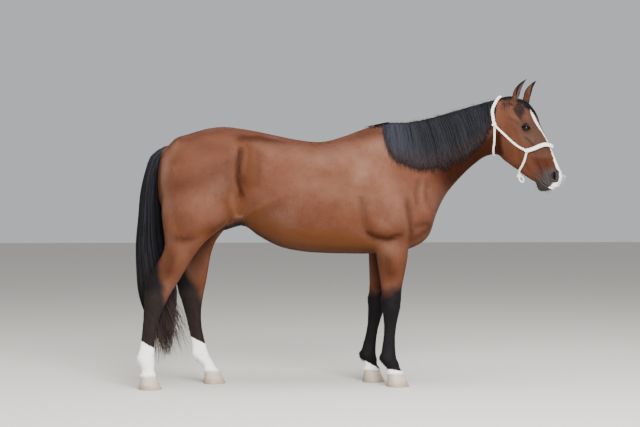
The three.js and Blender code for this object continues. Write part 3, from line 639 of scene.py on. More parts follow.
# Where each corner is on the leg nearest it: how far forward and outward in parts of the reach there.
def onLegs(corners):
    found = {}
    for name, table in legTables.items():
        side = 1 if "left" in name else -1
        fore = "fore" in name
        near = (corners[:, 1] * side > 0) & ((corners[:, 0] > -300) == fore)
        order = np.argsort(table[:, 1])
        z = corners[near, 2]
        front, back, half, y = [np.interp(z, table[order, 1], table[order, k]) for k in (0, 2, 4, 5)]
        centre = (front + back) / 2
        forward = (corners[near, 0] - centre) / ((front - back) / 2)
        outward = (corners[near, 1] - y) * side / half
        found[name] = (near, forward, outward, z)
    return found


# Leg forms: where forward (1 front, -1 back), where outward (1 outer, None both), heights from and to, width
# as a share of the leg, and the move in mm. The bell runs round the leg and fades at its two heights.
forelegForms = [
    [-0.12, None, 560, 790, 0.2, -3.5],  # between the two muscles of the forearm
    [0.62, 1, 620, 830, 0.4, 4.5],  # extensor muscle
    [-0.7, 1, 640, 820, 0.35, 3],
    [-0.22, None, 200, 430, 0.2, -5.5],  # between the cannon bone and the tendons
    [-0.62, None, 205, 420, 0.14, -2.5],  # between the two tendons
    [-1.0, None, 480, 535, 0.5, 7],  # bone behind the knee
    [0.55, None, 505, 545, 0.5, 2.5],  # upper row of the knee
    [0.45, None, 440, 480, 0.5, 2.5],  # lower row of the knee
    [0.1, None, 485, 505, 0.8, -2],
    [-0.65, None, 150, 190, 0.4, 4.5],  # sesamoid bones
    [-1.0, None, 88, 128, 0.5, -5],  # hollow of the pastern
    [0.0, None, 76, 92, 2.0, 2],  # coronet
]
hindlegForms = [
    [-0.42, None, 615, 790, 0.2, -8],  # before the hamstring
    [-0.98, None, 640, 760, 0.3, 4],  # hamstring
    [0.35, 1, 640, 860, 0.5, 5],  # gaskin muscle
    [-1.0, None, 606, 655, 0.4, 9],  # point of the hock
    [0.15, None, 560, 610, 0.34, 4.5],  # ankle bones
    [0.75, None, 520, 570, 0.4, 3],  # front of the hock
    [-0.3, None, 500, 560, 0.25, -3],
    [-0.2, None, 205, 470, 0.2, -6],  # between the cannon bone and the tendons
    [-0.6, None, 205, 450, 0.14, -2.5],
    [-0.65, None, 150, 195, 0.4, 4.5],  # sesamoid bones
    [-1.0, None, 88, 130, 0.5, -5],  # hollow of the pastern
    [0.0, None, 74, 90, 2.0, 2],  # coronet
]


# Each form moves the leg's surface by its size, times a bell round the leg, times a band of height with
# soft ends.
def sculptLegs(corners):
    out = np.zeros(len(corners))
    for name, (near, forward, outward, z) in onLegs(corners).items():
        reach = np.hypot(forward, outward)
        turn = np.arctan2(np.abs(outward), forward)
        move = np.zeros(len(z))
        for where, side, lowEnd, highEnd, width, size in forelegForms if "fore" in name else hindlegForms:
            middle = math.acos(np.clip(where, -1, 1))
            girth = bell((turn - middle) / (2.2 * width))
            if side:
                girth *= ease(outward * side, -0.2, 0.3)
            soft = 0.3 * (highEnd - lowEnd)
            fade = ease(z, lowEnd - soft, lowEnd + soft) * ease(-z, -highEnd - soft, -highEnd + soft)
            move += size * girth * fade
        out[near] += move * ease(-reach, -1.9, -1.3)
    return out


print("skin: forms")
skin = grownTogether(skinForms(), skinSizes["voxel"])
corners, edges = cornersOf(skin.data), edgesOf(skin.data)
print("skin: grown", len(corners), "corners")


# Where forms meet, the surface is smoothed more: bells round the elbows, stifles, flanks, throat and ears.
softPlaces = [
    ([250, 0, 880], [190, 400, 110], 1.0), ([-860, 0, 960], [330, 400, 190], 1.0),
    ([-860, 0, 1250], [260, 400, 190], 0.8), ([840, -40, 1500], [90, 200, 240], 1.0),
    ([470, 0, 950], [80, 300, 120], 0.7),
]
soft = np.zeros(len(corners))
for centre, size, amount in softPlaces:
    far = (((corners - np.array(centre)) / np.array(size)) ** 2).sum(1)
    soft = np.maximum(soft, amount * ease(-far, -1.3, -0.5))
stepShare = (7.0 / skinSizes["voxel"]) ** 2
corners = relax(corners, edges, int(skinSizes["relaxRounds"] * stepShare), soft)
corners = relax(corners, edges, 4, 1.0, 0.5)
inEars = np.abs(magnified(corners.copy(), True) - corners).max(1) > 1e-3
corners = magnified(relax(corners, edges, skinSizes["relaxRounds"], inEars, 0.5), True)
setCorners(skin.data, corners)
normals = normalsOf(skin.data)
for _ in range(4):
    normals = neighbourMean(normals, edges, len(corners))
normals = unit(normals)
corners = corners + normals * (sculptBody(corners, normals) + sculptLegs(corners))[:, None]
setCorners(skin.data, corners)
print("skin: sculpted")


# Fine work on the head, in the head's own plane: the line [forward, height, forward, height, ...], its width,
# the move, how high its shoulders stand, and how far from the middle plane it starts.
headLines = [
    ([222, 1412, 204, 1440, 178, 1468, 150, 1490], 9, 4.5, 0.25, 30),  # facial crest
    ([132, 1556, 104, 1580, 72, 1598, 48, 1606], 12, 4, 0.2, 40),  # cheek bone to the ear
    ([-8, 1560, -24, 1500, -26, 1440, -6, 1382], 13, -6, 0.3, 30),  # behind the jaw
    ([60, 1560, 96, 1500, 112, 1440, 104, 1370, 84, 1318], 18, -3.5, 0, 40),  # front of the cheek
    ([230, 1500, 262, 1440, 292, 1372, 306, 1320], 9, -2.5, 0.3, 18),  # beside the nose bone
    ([262, 1372, 276, 1330, 290, 1296], 9, 3.5, 0.2, 20),  # muscle to the nostril
    ([196, 1376, 226, 1330, 250, 1276, 262, 1246], 10, 3, 0.2, 20),  # cheek strap muscle
    ([176, 1420, 204, 1368, 224, 1322], 8, -3, 0, 20),
    ([128, 1310, 170, 1372, 214, 1424, 238, 1470, 246, 1500], 4, 1.6, 0, 30),  # facial vein
    ([214, 1424, 236, 1404, 262, 1390], 3.5, 1.2, 0, 20),
    ([206, 1252, 222, 1238, 236, 1222], 5, -2.5, 0.4, 14),  # corner folds of the mouth
    ([214, 1268, 232, 1254, 246, 1236], 4.5, -1.8, 0.4, 14),
    ([282, 1228, 290, 1212, 304, 1200], 4.5, -1.6, 0.4, 14),  # muzzle folds
    ([274, 1262, 286, 1246, 296, 1230], 5, -1.8, 0.4, 14),
]
mouthLine = [[232, 1222], [250, 1203], [272, 1189], [300, 1181], [330, 1177], [356, 1172]]
mouthSizes = {"width": 2.6, "depth": 7.0, "lip": 2.6, "lipAt": 7.5}
nostrilSizes = {
    "line": [[327, 1270], [317, 1262], [311, 1249], [313, 1235], [322, 1226]],
    "widths": [5, 9, 11.5, 10, 4.5], "depth": 24, "rim": 4.0, "rimWidth": 5,
}
eyeSizes = {
    "radius": 21.0, "halfLength": 25.5, "upper": 9.6, "lower": 9.3, "lid": 3.0, "sunk": 7.0, "blend": 10.0,
    "outward": [0.20, 0.97, 0.12], "along": [59, 0, -17], "clearance": 0.5,
    "folds": [  # above the upper lid (1) or below the lower (-1), mm from its edge, width, move
        [1, 9.5, 2.6, -3.4], [1, 4.2, 3.2, 2.2], [-1, 8.5, 2.4, -1.6], [-1, 3.0, 2.6, 1.2],
        [1, 17.0, 2.8, -1.6]],
}


# The eye's own axes on one side: outward, along the slit towards the nose, and up across it.
def eyeAxes(side):
    out = unit(np.array(eyeSizes["outward"]) * [1, side, 1])
    along = np.array(eyeSizes["along"], float)
    along = unit(along - along @ out * out)
    up = np.cross(out, along) * side
    return eyeCentre * [1, side, 1], out, along, up * (1 if up[2] > 0 else -1)


# The lids are a shell round the eyeball a lid's thickness off it. Inside the almond between them the skin
# drops behind the ball; a fold runs above the upper lid and a faint one below the lower.
def sculptEyes(points):
    for side in (1, -1):
        centre, out, along, up = eyeAxes(side)
        offset = points - centre
        x, y, depth = offset @ along, offset @ up, offset @ out
        near = (np.abs(x) < 60) & (np.abs(y) < 50) & (depth > -30) & (points[:, 1] * side > 0)
        x, y, depth = x[near], y[near], depth[near]
        radius, half = eyeSizes["radius"], eyeSizes["halfLength"]
        arch = np.sqrt(np.clip(1 - (x / half) ** 2, 0, 1))
        upper = eyeSizes["upper"] * arch ** 1.25 + 0.10 * x * arch
        lower = -eyeSizes["lower"] * arch ** 1.5 + 0.02 * x * arch
        outside = np.maximum(y - upper, lower - y) + 3.0 * ease(np.abs(x), half - 1, half + 6)
        reach = np.hypot(x / 1.15, y)
        ball = np.sqrt(np.clip(radius ** 2 - x ** 2 - y ** 2, 0, None))
        around = radius + eyeSizes["lid"]
        rim = 0.8 * around  # past this the shell goes on as a cone
        drop = math.sqrt(around ** 2 - rim ** 2)
        r = np.hypot(x / 1.12, y)
        shell = np.sqrt(np.clip(around ** 2 - r ** 2, 0, None))
        dome = np.where(r < rim, shell, drop - (r - rim) * rim / drop)
        meet = np.clip(eyeSizes["blend"] - np.abs(dome - depth), 0, None)
        lids = np.maximum(dome, depth) + meet ** 2 / (4 * eyeSizes["blend"])
        fold = sum(move * bell(((y - upper if above > 0 else lower - y) - distance) / width)
                   for above, distance, width, move in eyeSizes["folds"])
        target = lids + fold * ease(-reach, -30, -20)
        behind = ball - eyeSizes["sunk"]
        opening = ease(-outside, -0.4, 1.6)
        target = target * (1 - opening) + behind * opening
        points[near] += (target - depth)[:, None] * out
    return points


# The nostril is a comma: a hollow along a bent line, as wide as the line says there, with a raised rim.
def sculptNostrils(points, normals):
    sizes = nostrilSizes
    for side in (1, -1):
        near = (points[:, 1] * side > 12) & (points[:, 0] > 270) & (np.abs(points[:, 2] - 1250) < 55)
        far, along, _ = toLine(points[near][:, [0, 2]], sizes["line"])
        width = np.interp(along, np.linspace(0, 1, len(sizes["widths"])), sizes["widths"])
        inside = ease(-(far - width), -0.5, 5.0)
        rim = sizes["rim"] * bell((far - width - 3.5) / sizes["rimWidth"])
        inward = unit(np.array([-0.35, -0.9 * side, 0.25]))
        points[near] += ((inside * sizes["depth"])[:, None] * inward
                         + (rim * (1 - inside))[:, None] * normals[near])
    return points


# Each line moves the head's surface as the body's lines do, at one and four fifths widths for its shoulders.
def sculptHead(points):
    out = np.zeros(len(points))
    seen = points[:, [0, 2]]
    sideways = np.abs(points[:, 1])
    for line, width, move, shoulder, least in headLines:
        far, along, _ = toLine(seen, line)
        fade = ease(along, -0.02, 0.2) * ease(1 - along, -0.02, 0.2)
        shape = bell(far / width) - shoulder * bell((far - 1.8 * width) / (0.7 * width))
        out += move * shape * fade * ease(sideways, least - 8, least + 8)
    return out


# The mouth is a groove along its line, with a lip swelling beside it.
def sculptMouth(points, normals):
    near = (points[:, 0] > 215) & (points[:, 2] < 1245)
    far, along, _ = toLine(points[near][:, [0, 2]], mouthLine)
    fade = ease(along, -0.02, 0.12)
    move = -mouthSizes["depth"] * bell(far / mouthSizes["width"])
    move += mouthSizes["lip"] * bell((far - mouthSizes["lipAt"]) / 5)
    points[near] += normals[near] * (move * fade)[:, None]
    return points


# How near each point of the head is to the eyes, nostrils and mouth: 0 far off, 1 where work is finest.
def fineness(points, extra=0.0):
    out = np.zeros(len(points))
    for side in (1, -1):
        for place, radius in ((eyeCentre * [1, side, 1], 44), (np.array([316, side * 50, 1248]), 38)):
            far = np.linalg.norm(points - place, axis=1)
            out = np.maximum(out, np.clip((radius + extra - far) / 20, 0, 1))
    far = toLine(points[:, [0, 2]], mouthLine)[0]
    return np.maximum(out, np.where(points[:, 2] < 1240, np.clip((13 + extra - far) / 26, 0, 0.49), 0))


# Faces near the eyes, nostrils and mouth are cut finer, so that lids, rims and lips have corners to stand on.
def refine(piece):
    mesh = bmesh.new()
    mesh.from_mesh(piece.data)
    for least in (0.001, 0.5):
        spots = np.array([v.co for v in mesh.verts]) * 1000 - shift
        wanted = fineness(toHead(spots)) > least
        mesh.verts.index_update()
        chosen = [edge for edge in mesh.edges if wanted[edge.verts[0].index] and wanted[edge.verts[1].index]]
        bmesh.ops.subdivide_edges(mesh, edges=chosen, cuts=1, use_grid_fill=True)
        bmesh.ops.triangulate(mesh, faces=[face for face in mesh.faces if len(face.verts) > 3])
        mesh.verts.index_update()
    mesh.to_mesh(piece.data)
    mesh.free()
    piece.data.polygons.foreach_set("use_smooth", np.ones(len(piece.data.polygons), bool))


# The body keeps fewer faces than the head: a group says where they may be taken away.
def thin(piece, triangles):
    points = cornersOf(piece.data)
    local = toHead(points)
    away = ease(-local[:, 0], -40, 120) + ease(-points[:, 2], -1250, -1150)
    away = np.clip(away + ease(-points[:, 0], -760, -680), 0, 1)
    feet = ease(-points[:, 2], -260, -200)
    weight = np.clip(0.25 + away * (0.75 - 0.4 * feet), 0.0, 1.0)
    group = piece.vertex_groups.new(name="coarse")
    for level in np.linspace(0.1, 1.0, 10):
        chosen = np.nonzero(np.abs(np.ceil(weight * 10) / 10 - level) < 0.05)[0]
        group.add(chosen.tolist(), float(level), "REPLACE")
    ratio = piece.modifiers.new("thin", "DECIMATE")
    ratio.vertex_group = "coarse"
    ratio.vertex_group_factor = 1.2
    total = 2 * len(piece.data.polygons)
    ratio.ratio = min(1.0, triangles / total)
    thinned = applied(piece, "skin")
    thinned.vertex_groups.clear()
    return thinned


headNear = toHead(corners)
onHead = ease(headNear[:, 0], -110, -60) * ease(headNear[:, 2], 1120, 1140)
moved = sculptHead(headNear) * onHead
corners = corners + normals * moved[:, None]
setCorners(skin.data, corners)
skin = thin(skin, skinSizes["triangles"])
print("skin: thinned to", len(skin.data.polygons), "faces")
refine(skin)
corners, edges = cornersOf(skin.data), edgesOf(skin.data)
finest = fineness(toHead(corners), 8.0)
corners = relax(corners, edges, 4, finest, 0.4)
buttocks = ease(-corners[:, 0], 1040, 1080) * ease(corners[:, 2], 900, 1000)
corners = relax(corners, edges, 14, buttocks, 0.44)
corners = relax(corners, edges, 1, 0.6)
setCorners(skin.data, corners)
local = toHead(corners)
turnedNormals = turned(normalsOf(skin.data), -headTurn)
local = sculptMouth(local, turnedNormals)
local = sculptNostrils(local, turnedNormals)
local = sculptEyes(local)
corners = fromHead(local)
setCorners(skin.data, corners)
corners = relax(corners, edges, 1, 0.5 * finest)
setCorners(skin.data, corners)
print("skin: finished with", len(skin.data.polygons), "faces")


# Markings: lengths in mm from each edge, more than 0 inside, worked out for any points of skin or coat.
markingSizes = {
    "blackFore": 575, "blackHind": [622, 138], "whiteForeRight": [100, 8], "whiteForeLeft": [112, 30],
    "whiteHind": [262, 24], "edge": 14,
    "blaze": [  # height, half width, how far to the left of the middle
        [1654, -10, -14], [1642, 13, -16], [1612, 27, -22], [1575, 28, -23], [1545, 22, -18], [1515, 13, -10],
        [1480, 8, -5], [1440, 6, -2], [1400, 8, -3], [1360, 12, -4], [1320, 17, -4], [1285, 22, -4],
        [1250, 27, -3], [1215, 32, 0], [1180, 30, 0], [1172, -4, 0], [1100, -30, 0]],
}


# Black points and ear rims, black painted as shade in the groin, white feet and blaze, grey muzzle, eye,
# nostril and the inside of the ears, each as a signed length in mm or a share from 0 to 1.
def markings(points):
    nothing = np.full(len(points), -200.0)
    black, white, eye, ear = [nothing.copy() for _ in range(4)]
    inner = np.zeros(len(points))
    for name, (near, forward, outward, z) in onLegs(points).items():
        along = np.clip(forward, -1, 1)
        if "fore" in name:
            edge = markingSizes["blackFore"] + 22 * along + 8 * outward
            line, slope = markingSizes["whiteForeRight" if "right" in name else "whiteForeLeft"]
        else:
            level, slant = markingSizes["blackHind"]
            edge = level - slant * along
            line, slope = markingSizes["whiteHind"]
        black[near] = np.where(z < 800, edge - z, -200)
        white[near] = line - slope * along - z
    # black painted as shade in the groin, under the belly between the hind legs
    groinShade = np.minimum(70 - np.abs(points[:, 0] + 690), 1002 - points[:, 2] - 0.25 * np.abs(points[:, 1]))
    groinShade = np.minimum(groinShade, 105 - np.abs(points[:, 1]))
    black = np.maximum(black, np.where(points[:, 2] > 880, 1.4 * groinShade, -200))
    local = toHead(points)
    a, b, z = local[:, 0], np.abs(local[:, 1]), local[:, 2]
    head = (a > -60) & (z > 1120)
    table = np.array(markingSizes["blaze"])[::-1]
    half, aside = [np.interp(z, table[:, 0], table[:, k]) for k in (1, 2)]
    front = np.interp(z, np.sort(headStations[:, 1]), headStations[np.argsort(headStations[:, 1]), 0])
    facing = ease(a - front, -48, -26)
    blaze = np.where(head, half - np.abs(local[:, 1] - aside) - 40 * (1 - facing), -200)
    white = np.maximum(white, blaze)
    lips = np.minimum(a - 281 - 0.9 * np.abs(1180 - z), 44 - b)
    white = np.maximum(white, np.where(head & (z < 1210), lips, -200))
    muzzle = 72 - np.hypot(a - 300, z - 1222)
    muzzle = np.maximum(muzzle, 56 - np.hypot(a - 236, z - 1186))
    grey = np.where(head, muzzle, -200)
    for side in (1, -1):
        centre, out, along, up = eyeAxes(side)
        offset = local - centre
        away = np.hypot(offset @ along / 1.25, offset @ up)
        eye = np.maximum(eye, 30 - away - 2 * np.abs(offset @ out - 16))
    # the nostril painted near black: its dark lining with the shade of the hollow
    nostril = np.where(head, 18 - np.hypot((a - 317) / 0.75, z - 1247), -200)
    for side in ("left", "right"):
        rise, wide, deep, width, depth, opening = inEar(local, side)
        away = np.hypot(wide / width, deep / depth)
        own = (rise > 0.02) & (away < 1.5)
        angle = np.abs(np.arctan2(wide / width, -deep / depth))
        rim = (angle - opening) * width + 8 + 11 * ease(rise, 0.1, 0.5)
        ear = np.where(own, np.maximum(rim * ease(rise, 0.0, 0.12), (rise - 0.8) * 150), ear)
        # the inside of the cup, where its pale hair is painted dark as the shade in it
        inside = ease(1 - away, 0.4 * earShape["wall"] / width, 0.7 * earShape["wall"] / width)
        inner = np.where(own, np.maximum(inside, inner) * ease(rise, 0.0, 0.1), inner)
    return {"black": black, "white": white, "grey": grey, "eye": eye, "nostril": nostril, "ear": ear,
            "inner": inner}


# One number for each corner, or each item of another domain, that a material reads by name.
def addAttribute(mesh, name, values, domain="POINT"):
    layer = mesh.attributes.new(name, "FLOAT", domain)
    layer.data.foreach_set("value", np.asarray(values, np.float32))


# A node's settings: a value goes to the socket or the property of that name, a hex colour is made linear, and
# a socket, or a node by its first output, is linked to it.
def setNode(tree, node, settings):
    for key, value in settings.items():
        if isinstance(value, bpy.types.Node):
            value = value.outputs[0]
        if isinstance(value, str) and value[0] == "#":
            value = linear(value)
        if isinstance(value, bpy.types.NodeSocket):
            tree.links.new(value, node.inputs[key])
        elif isinstance(key, int) or key in node.inputs:
            node.inputs[key].default_value = value
        else:
            setattr(node, key, value)
    return node


# Adds a node with its settings and links.
def addNode(tree, kind, settings=None):
    return setNode(tree, tree.nodes.new("ShaderNode" + kind), settings or {})


timesPlus = {"operation": "MULTIPLY_ADD"}
shareOf = {"operation": "MULTIPLY_ADD", "use_clamp": True}  # the same, kept between 0 and 1


# A value read from an attribute, moved by noise, and turned from 0 to 1 across a soft edge some mm wide.
def edgeMask(tree, name, noise, wander, soft, at):
    value = addNode(tree, "Attribute", {"attribute_name": name}).outputs["Fac"]
    moved = addNode(tree, "Math", {**timesPlus, 0: noise, 1: wander, 2: value})
    return addNode(tree, "MapRange", {
        "interpolation_type": "SMOOTHSTEP", "Value": moved, "From Min": at - soft, "From Max": at + soft})


# Colours laid over one another: each layer is a mask and the colour that shows where its mask is 1.
def laidOver(tree, colour, layers):
    for mask, over in layers:
        mix = addNode(tree, "Mix", {"data_type": "RGBA", 0: mask, 6: colour, 7: over})
        colour = mix.outputs[2]
    return colour


# Noise centred on nought: scale is one over the size of its patches in metres.
def patchNoise(tree, place, millimetres, detail=3.0, stretch=(1, 1, 1)):
    mapping = addNode(tree, "Mapping", {"Vector": place, "Scale": stretch})
    noise = addNode(tree, "TexNoise", {
        "Vector": mapping, "Scale": 1000 / millimetres, "Detail": detail, "Roughness": 0.55})
    return addNode(tree, "Math", {"operation": "SUBTRACT", 0: noise.outputs["Fac"], 1: 0.5})


# A new material with its tree, its shader and the object's own coordinates, which its patterns read.
def startMaterial(name):
    material = bpy.data.materials.new(name)
    material.use_nodes = True
    tree = material.node_tree
    place = addNode(tree, "TexCoord").outputs["Object"]
    return material, tree, tree.nodes["Principled BSDF"], place


# dark, rust and pale go where the shares of painted shade, ochre and highlight lie
# the inner ear colour is pale hair painted dark, as the shade in the cup
# the nostril colour is its dark lining with painted shade inside
coatColours = {
    "bay": "#4A281A", "light": "#603D2F", "dark": "#260D03", "rust": "#59331B", "dust_and_sheen": "#745D53",
    "black": "#0C0B0C", "blackLit": "#1A191C", "white": "#F0EDE8", "pink": "#D9B7A8", "grey": "#332F2E",
    "pale": "#80604E", "eyelid": "#171312", "shadedInnerEar": "#4A413C", "ashen": "#372B25", "nostril": "#0F0B0B",
    "spots": "#77706A",
}
# What lies over the bay, from the lowest: attribute, noise that moves its edge, how far the edge moves, how
# soft it is and where it lies, all in the attribute's own unit (mm, or a share up to 1), and its colour.
coatLayers = [
    ("rusty", "middle", 0.22, 0.56, 0.54, "rust"), ("lighter", "middle", 0.22, 0.56, 0.54, "pale"),
    ("darker", "middle", 0.22, 0.56, 0.54, "dark"), ("grey", "fine", 34.0, 30.0, 4.0, "grey"),
    ("black", "middle", 90.0, 42.0, 0.0, "black"), ("ear", "fine", 14.0, 7.0, 0.0, "black"),
    ("inner", "fine", 0.5, 0.4, 0.6, "shadedInnerEar"), ("ashen", "fine", 0.4, 0.5, 0.5, "ashen"),
    ("white", "fine", 16.0, 4.0, 0.0, "white"), ("spots", "fine", 8.0, 3.0, 0.0, "spots"),
    ("eye", "fine", 8.0, 7.0, 3.0, "eyelid"), ("nostril", "fine", 6.0, 5.0, 0.0, "nostril"),
]


# Bay summer coat: hairs under a centimetre long lying flat, with a slight oily gloss along the body.
# Colours come from the markings and from shares of painted shade and painted light; the bump is hair about
# 0.4 mm thick, drawn 3 mm wide so that it shows.
def coatMaterial(name, hairBump=True):
    material, tree, shader, place = startMaterial(name)
    noise = {key: patchNoise(tree, place, *size) for key, size in {
        "broad": (420, 2.0), "middle": (90, 3.0), "fine": (14, 4.0, (1, 1, 0.45)),
        "hair": (3.2, 2.0, (1, 1, 0.16)), "dust": (260, 2.0)}.items()}
    tone = addNode(tree, "Math", {**timesPlus, 0: noise["broad"], 1: 1.1, 2: 0.35})
    tone = addNode(tree, "Math", {**timesPlus, 0: noise["middle"], 1: 0.6, 2: tone})
    tone = addNode(tree, "Math", {**shareOf, 0: noise["hair"], 1: 0.5, 2: tone})
    # dust and painted sheen: pinkish-grey patches laid at random over the bay
    dust = addNode(tree, "Math", {**timesPlus, 0: noise["fine"], 1: 0.3, 2: noise["dust"]})
    dust = addNode(tree, "MapRange", {"Value": dust, "From Min": 0.0, "From Max": 0.4, "To Max": 0.42})
    pink = edgeMask(tree, "pink", noise["fine"], 0.3, 0.5, 0.5)
    shade = dict(coatColours)
    shade["black"] = laidOver(tree, shade["black"], [(tone, shade["blackLit"])])
    shade["white"] = laidOver(tree, shade["white"], [(pink, shade["pink"])])
    colour = laidOver(tree, shade["bay"], [(tone, shade["light"]), (dust, shade["dust_and_sheen"])])
    for attribute, patches, wander, soft, at, tint in coatLayers:
        mask = edgeMask(tree, attribute, noise[patches], wander, soft, at)
        colour = laidOver(tree, colour, [(mask, shade[tint])])
    rough = addNode(tree, "Math", {**timesPlus, 0: noise["hair"], 1: 0.25, 2: 0.64})
    setNode(tree, shader, {
        "Base Color": colour, "Roughness": rough, "Specular IOR Level": 0.07, "Specular Tint": "#EFE2DC",
        "Sheen Weight": 0.01, "Sheen Roughness": 0.45, "Sheen Tint": "#F3DCD4"})
    if hairBump:
        height = addNode(tree, "Math", {**timesPlus, 0: noise["fine"], 1: 0.5, 2: noise["hair"]})
        bump = addNode(tree, "Bump", {"Height": height, "Strength": 0.35, "Distance": 0.0012})
        setNode(tree, shader, {"Normal": bump})
    return material


# Soft strokes of colour on the body seen from the side: line [x, z, ...], width in mm, share in the middle.
coatStrokes = {
    # painted shade in the creases and hollows of muscles, flank and legs, and darker bay along the top line
    "darker": [
        ([-650, 1466, -546, 1472, -430, 1456], 40, 0.8),
        ([-990, 1190, -856, 1240, -760, 1290, -690, 1330], 70, 0.36),
        ([-656, 1400, -668, 1320, -668, 1230, -652, 1130], 20, 0.95), ([-650, 1165, -640, 1115], 30, 0.45),
        ([-560, 1400, -550, 1294, -566, 1190], 26, 0.5), ([-1036, 890, -990, 872, -940, 888], 28, 0.6),
        ([-830, 905, -746, 963, -700, 985], 36, 0.55), ([-1090, 1110, -1077, 1008], 26, 0.2),
        ([-728, 1230, -724, 1160], 40, 0.4), ([46, 1115, 60, 1027, 76, 930], 28, 0.45),
        ([92, 915, 136, 887, 215, 876, 274, 902], 22, 0.9),
        ([316, 1100, 326, 1027, 345, 929, 348, 871], 22, 0.6), ([350, 952, 419, 963, 480, 956], 24, 0.5),
        ([348, 858, 421, 905, 484, 947], 19, 0.5), ([442, 1230, 430, 1150, 440, 1080], 18, 0.45),
        ([392, 1230, 370, 1145, 376, 1086], 18, 0.45),
        ([60, 1490, 150, 1520, 270, 1520, 370, 1470], 50, 0.6), ([206, 740, 236, 640], 64, 0.7),
        ([-760, 1530, -900, 1515, -1000, 1480], 50, 0.55), ([-420, 1485, -200, 1450, 0, 1480], 44, 0.5),
        ([-1056, 760, -1080, 680], 56, 0.65), ([-880, 1420, -760, 1400], 60, 0.3),
        ([-560, 1490, -420, 1470], 60, 0.7), ([-608, 1410, -600, 1339, -606, 1261, -624, 1180], 46, 0.5),
    ],
    # ochre painted into the shade of belly, flank fold and buttock, and on the lit slope of the flank hollow
    "rusty": [
        ([-612, 1420, -598, 1339, -604, 1261, -624, 1170], 52, 0.75),
        ([-1126, 1240, -1113, 1162, -1108, 1052, -1086, 930], 34, 0.7),
        ([-640, 975, -527, 990, -440, 945], 50, 0.7),
        ([-560, 920, -400, 866, -200, 846, 0, 846, 90, 860], 90, 0.7), ([-714, 1150, -703, 1060], 40, 0.6),
        ([-1060, 960, -1000, 860], 60, 0.5), ([-60, 1000, 46, 970], 90, 0.5),
        ([-640, 1440, -480, 1430], 60, 0.5), ([-1000, 1480, -1060, 1400], 50, 0.4),
        ([225, 760, 228, 620], 80, 0.6), ([-1020, 800, -1070, 690], 70, 0.5),
    ],
    # painted highlights on the rounds of muscles and along the lit edges of the flank fold
    "lighter": [
        ([-714, 1130, -704, 1074, -686, 1018], 26, 0.3), ([-640, 1018, -582, 1052, -510, 1086], 20, 0.2),
        ([-700, 1000, -674, 1010, -644, 1006], 10, 0.6), ([120, 1400, 70, 1320, 30, 1240], 110, 0.4),
        ([-330, 1370, -60, 1330], 90, 0.3), ([-940, 1070, -834, 1096], 120, 0.16),
        ([165, 968, 205, 955], 40, 0.3), ([150, 1260, 230, 1130, 250, 1030], 90, 0.36),
        ([420, 1060, 412, 1190], 40, 0.25), ([220, 850, 236, 780], 60, 0.3),
        ([-990, 810, -1024, 740], 60, 0.28), ([-300, 1200, -60, 1160, 40, 1120], 120, 0.3),
        ([-1040, 1450, -1090, 1350, -1112, 1200, -1100, 1050], 50, 0.42),
    ],
}
# Under edge of the neck's side, from the breast to the throat.
neckLine = [470, 1100, 520, 1200, 600, 1270, 710, 1336, 800, 1390, 900, 1440]


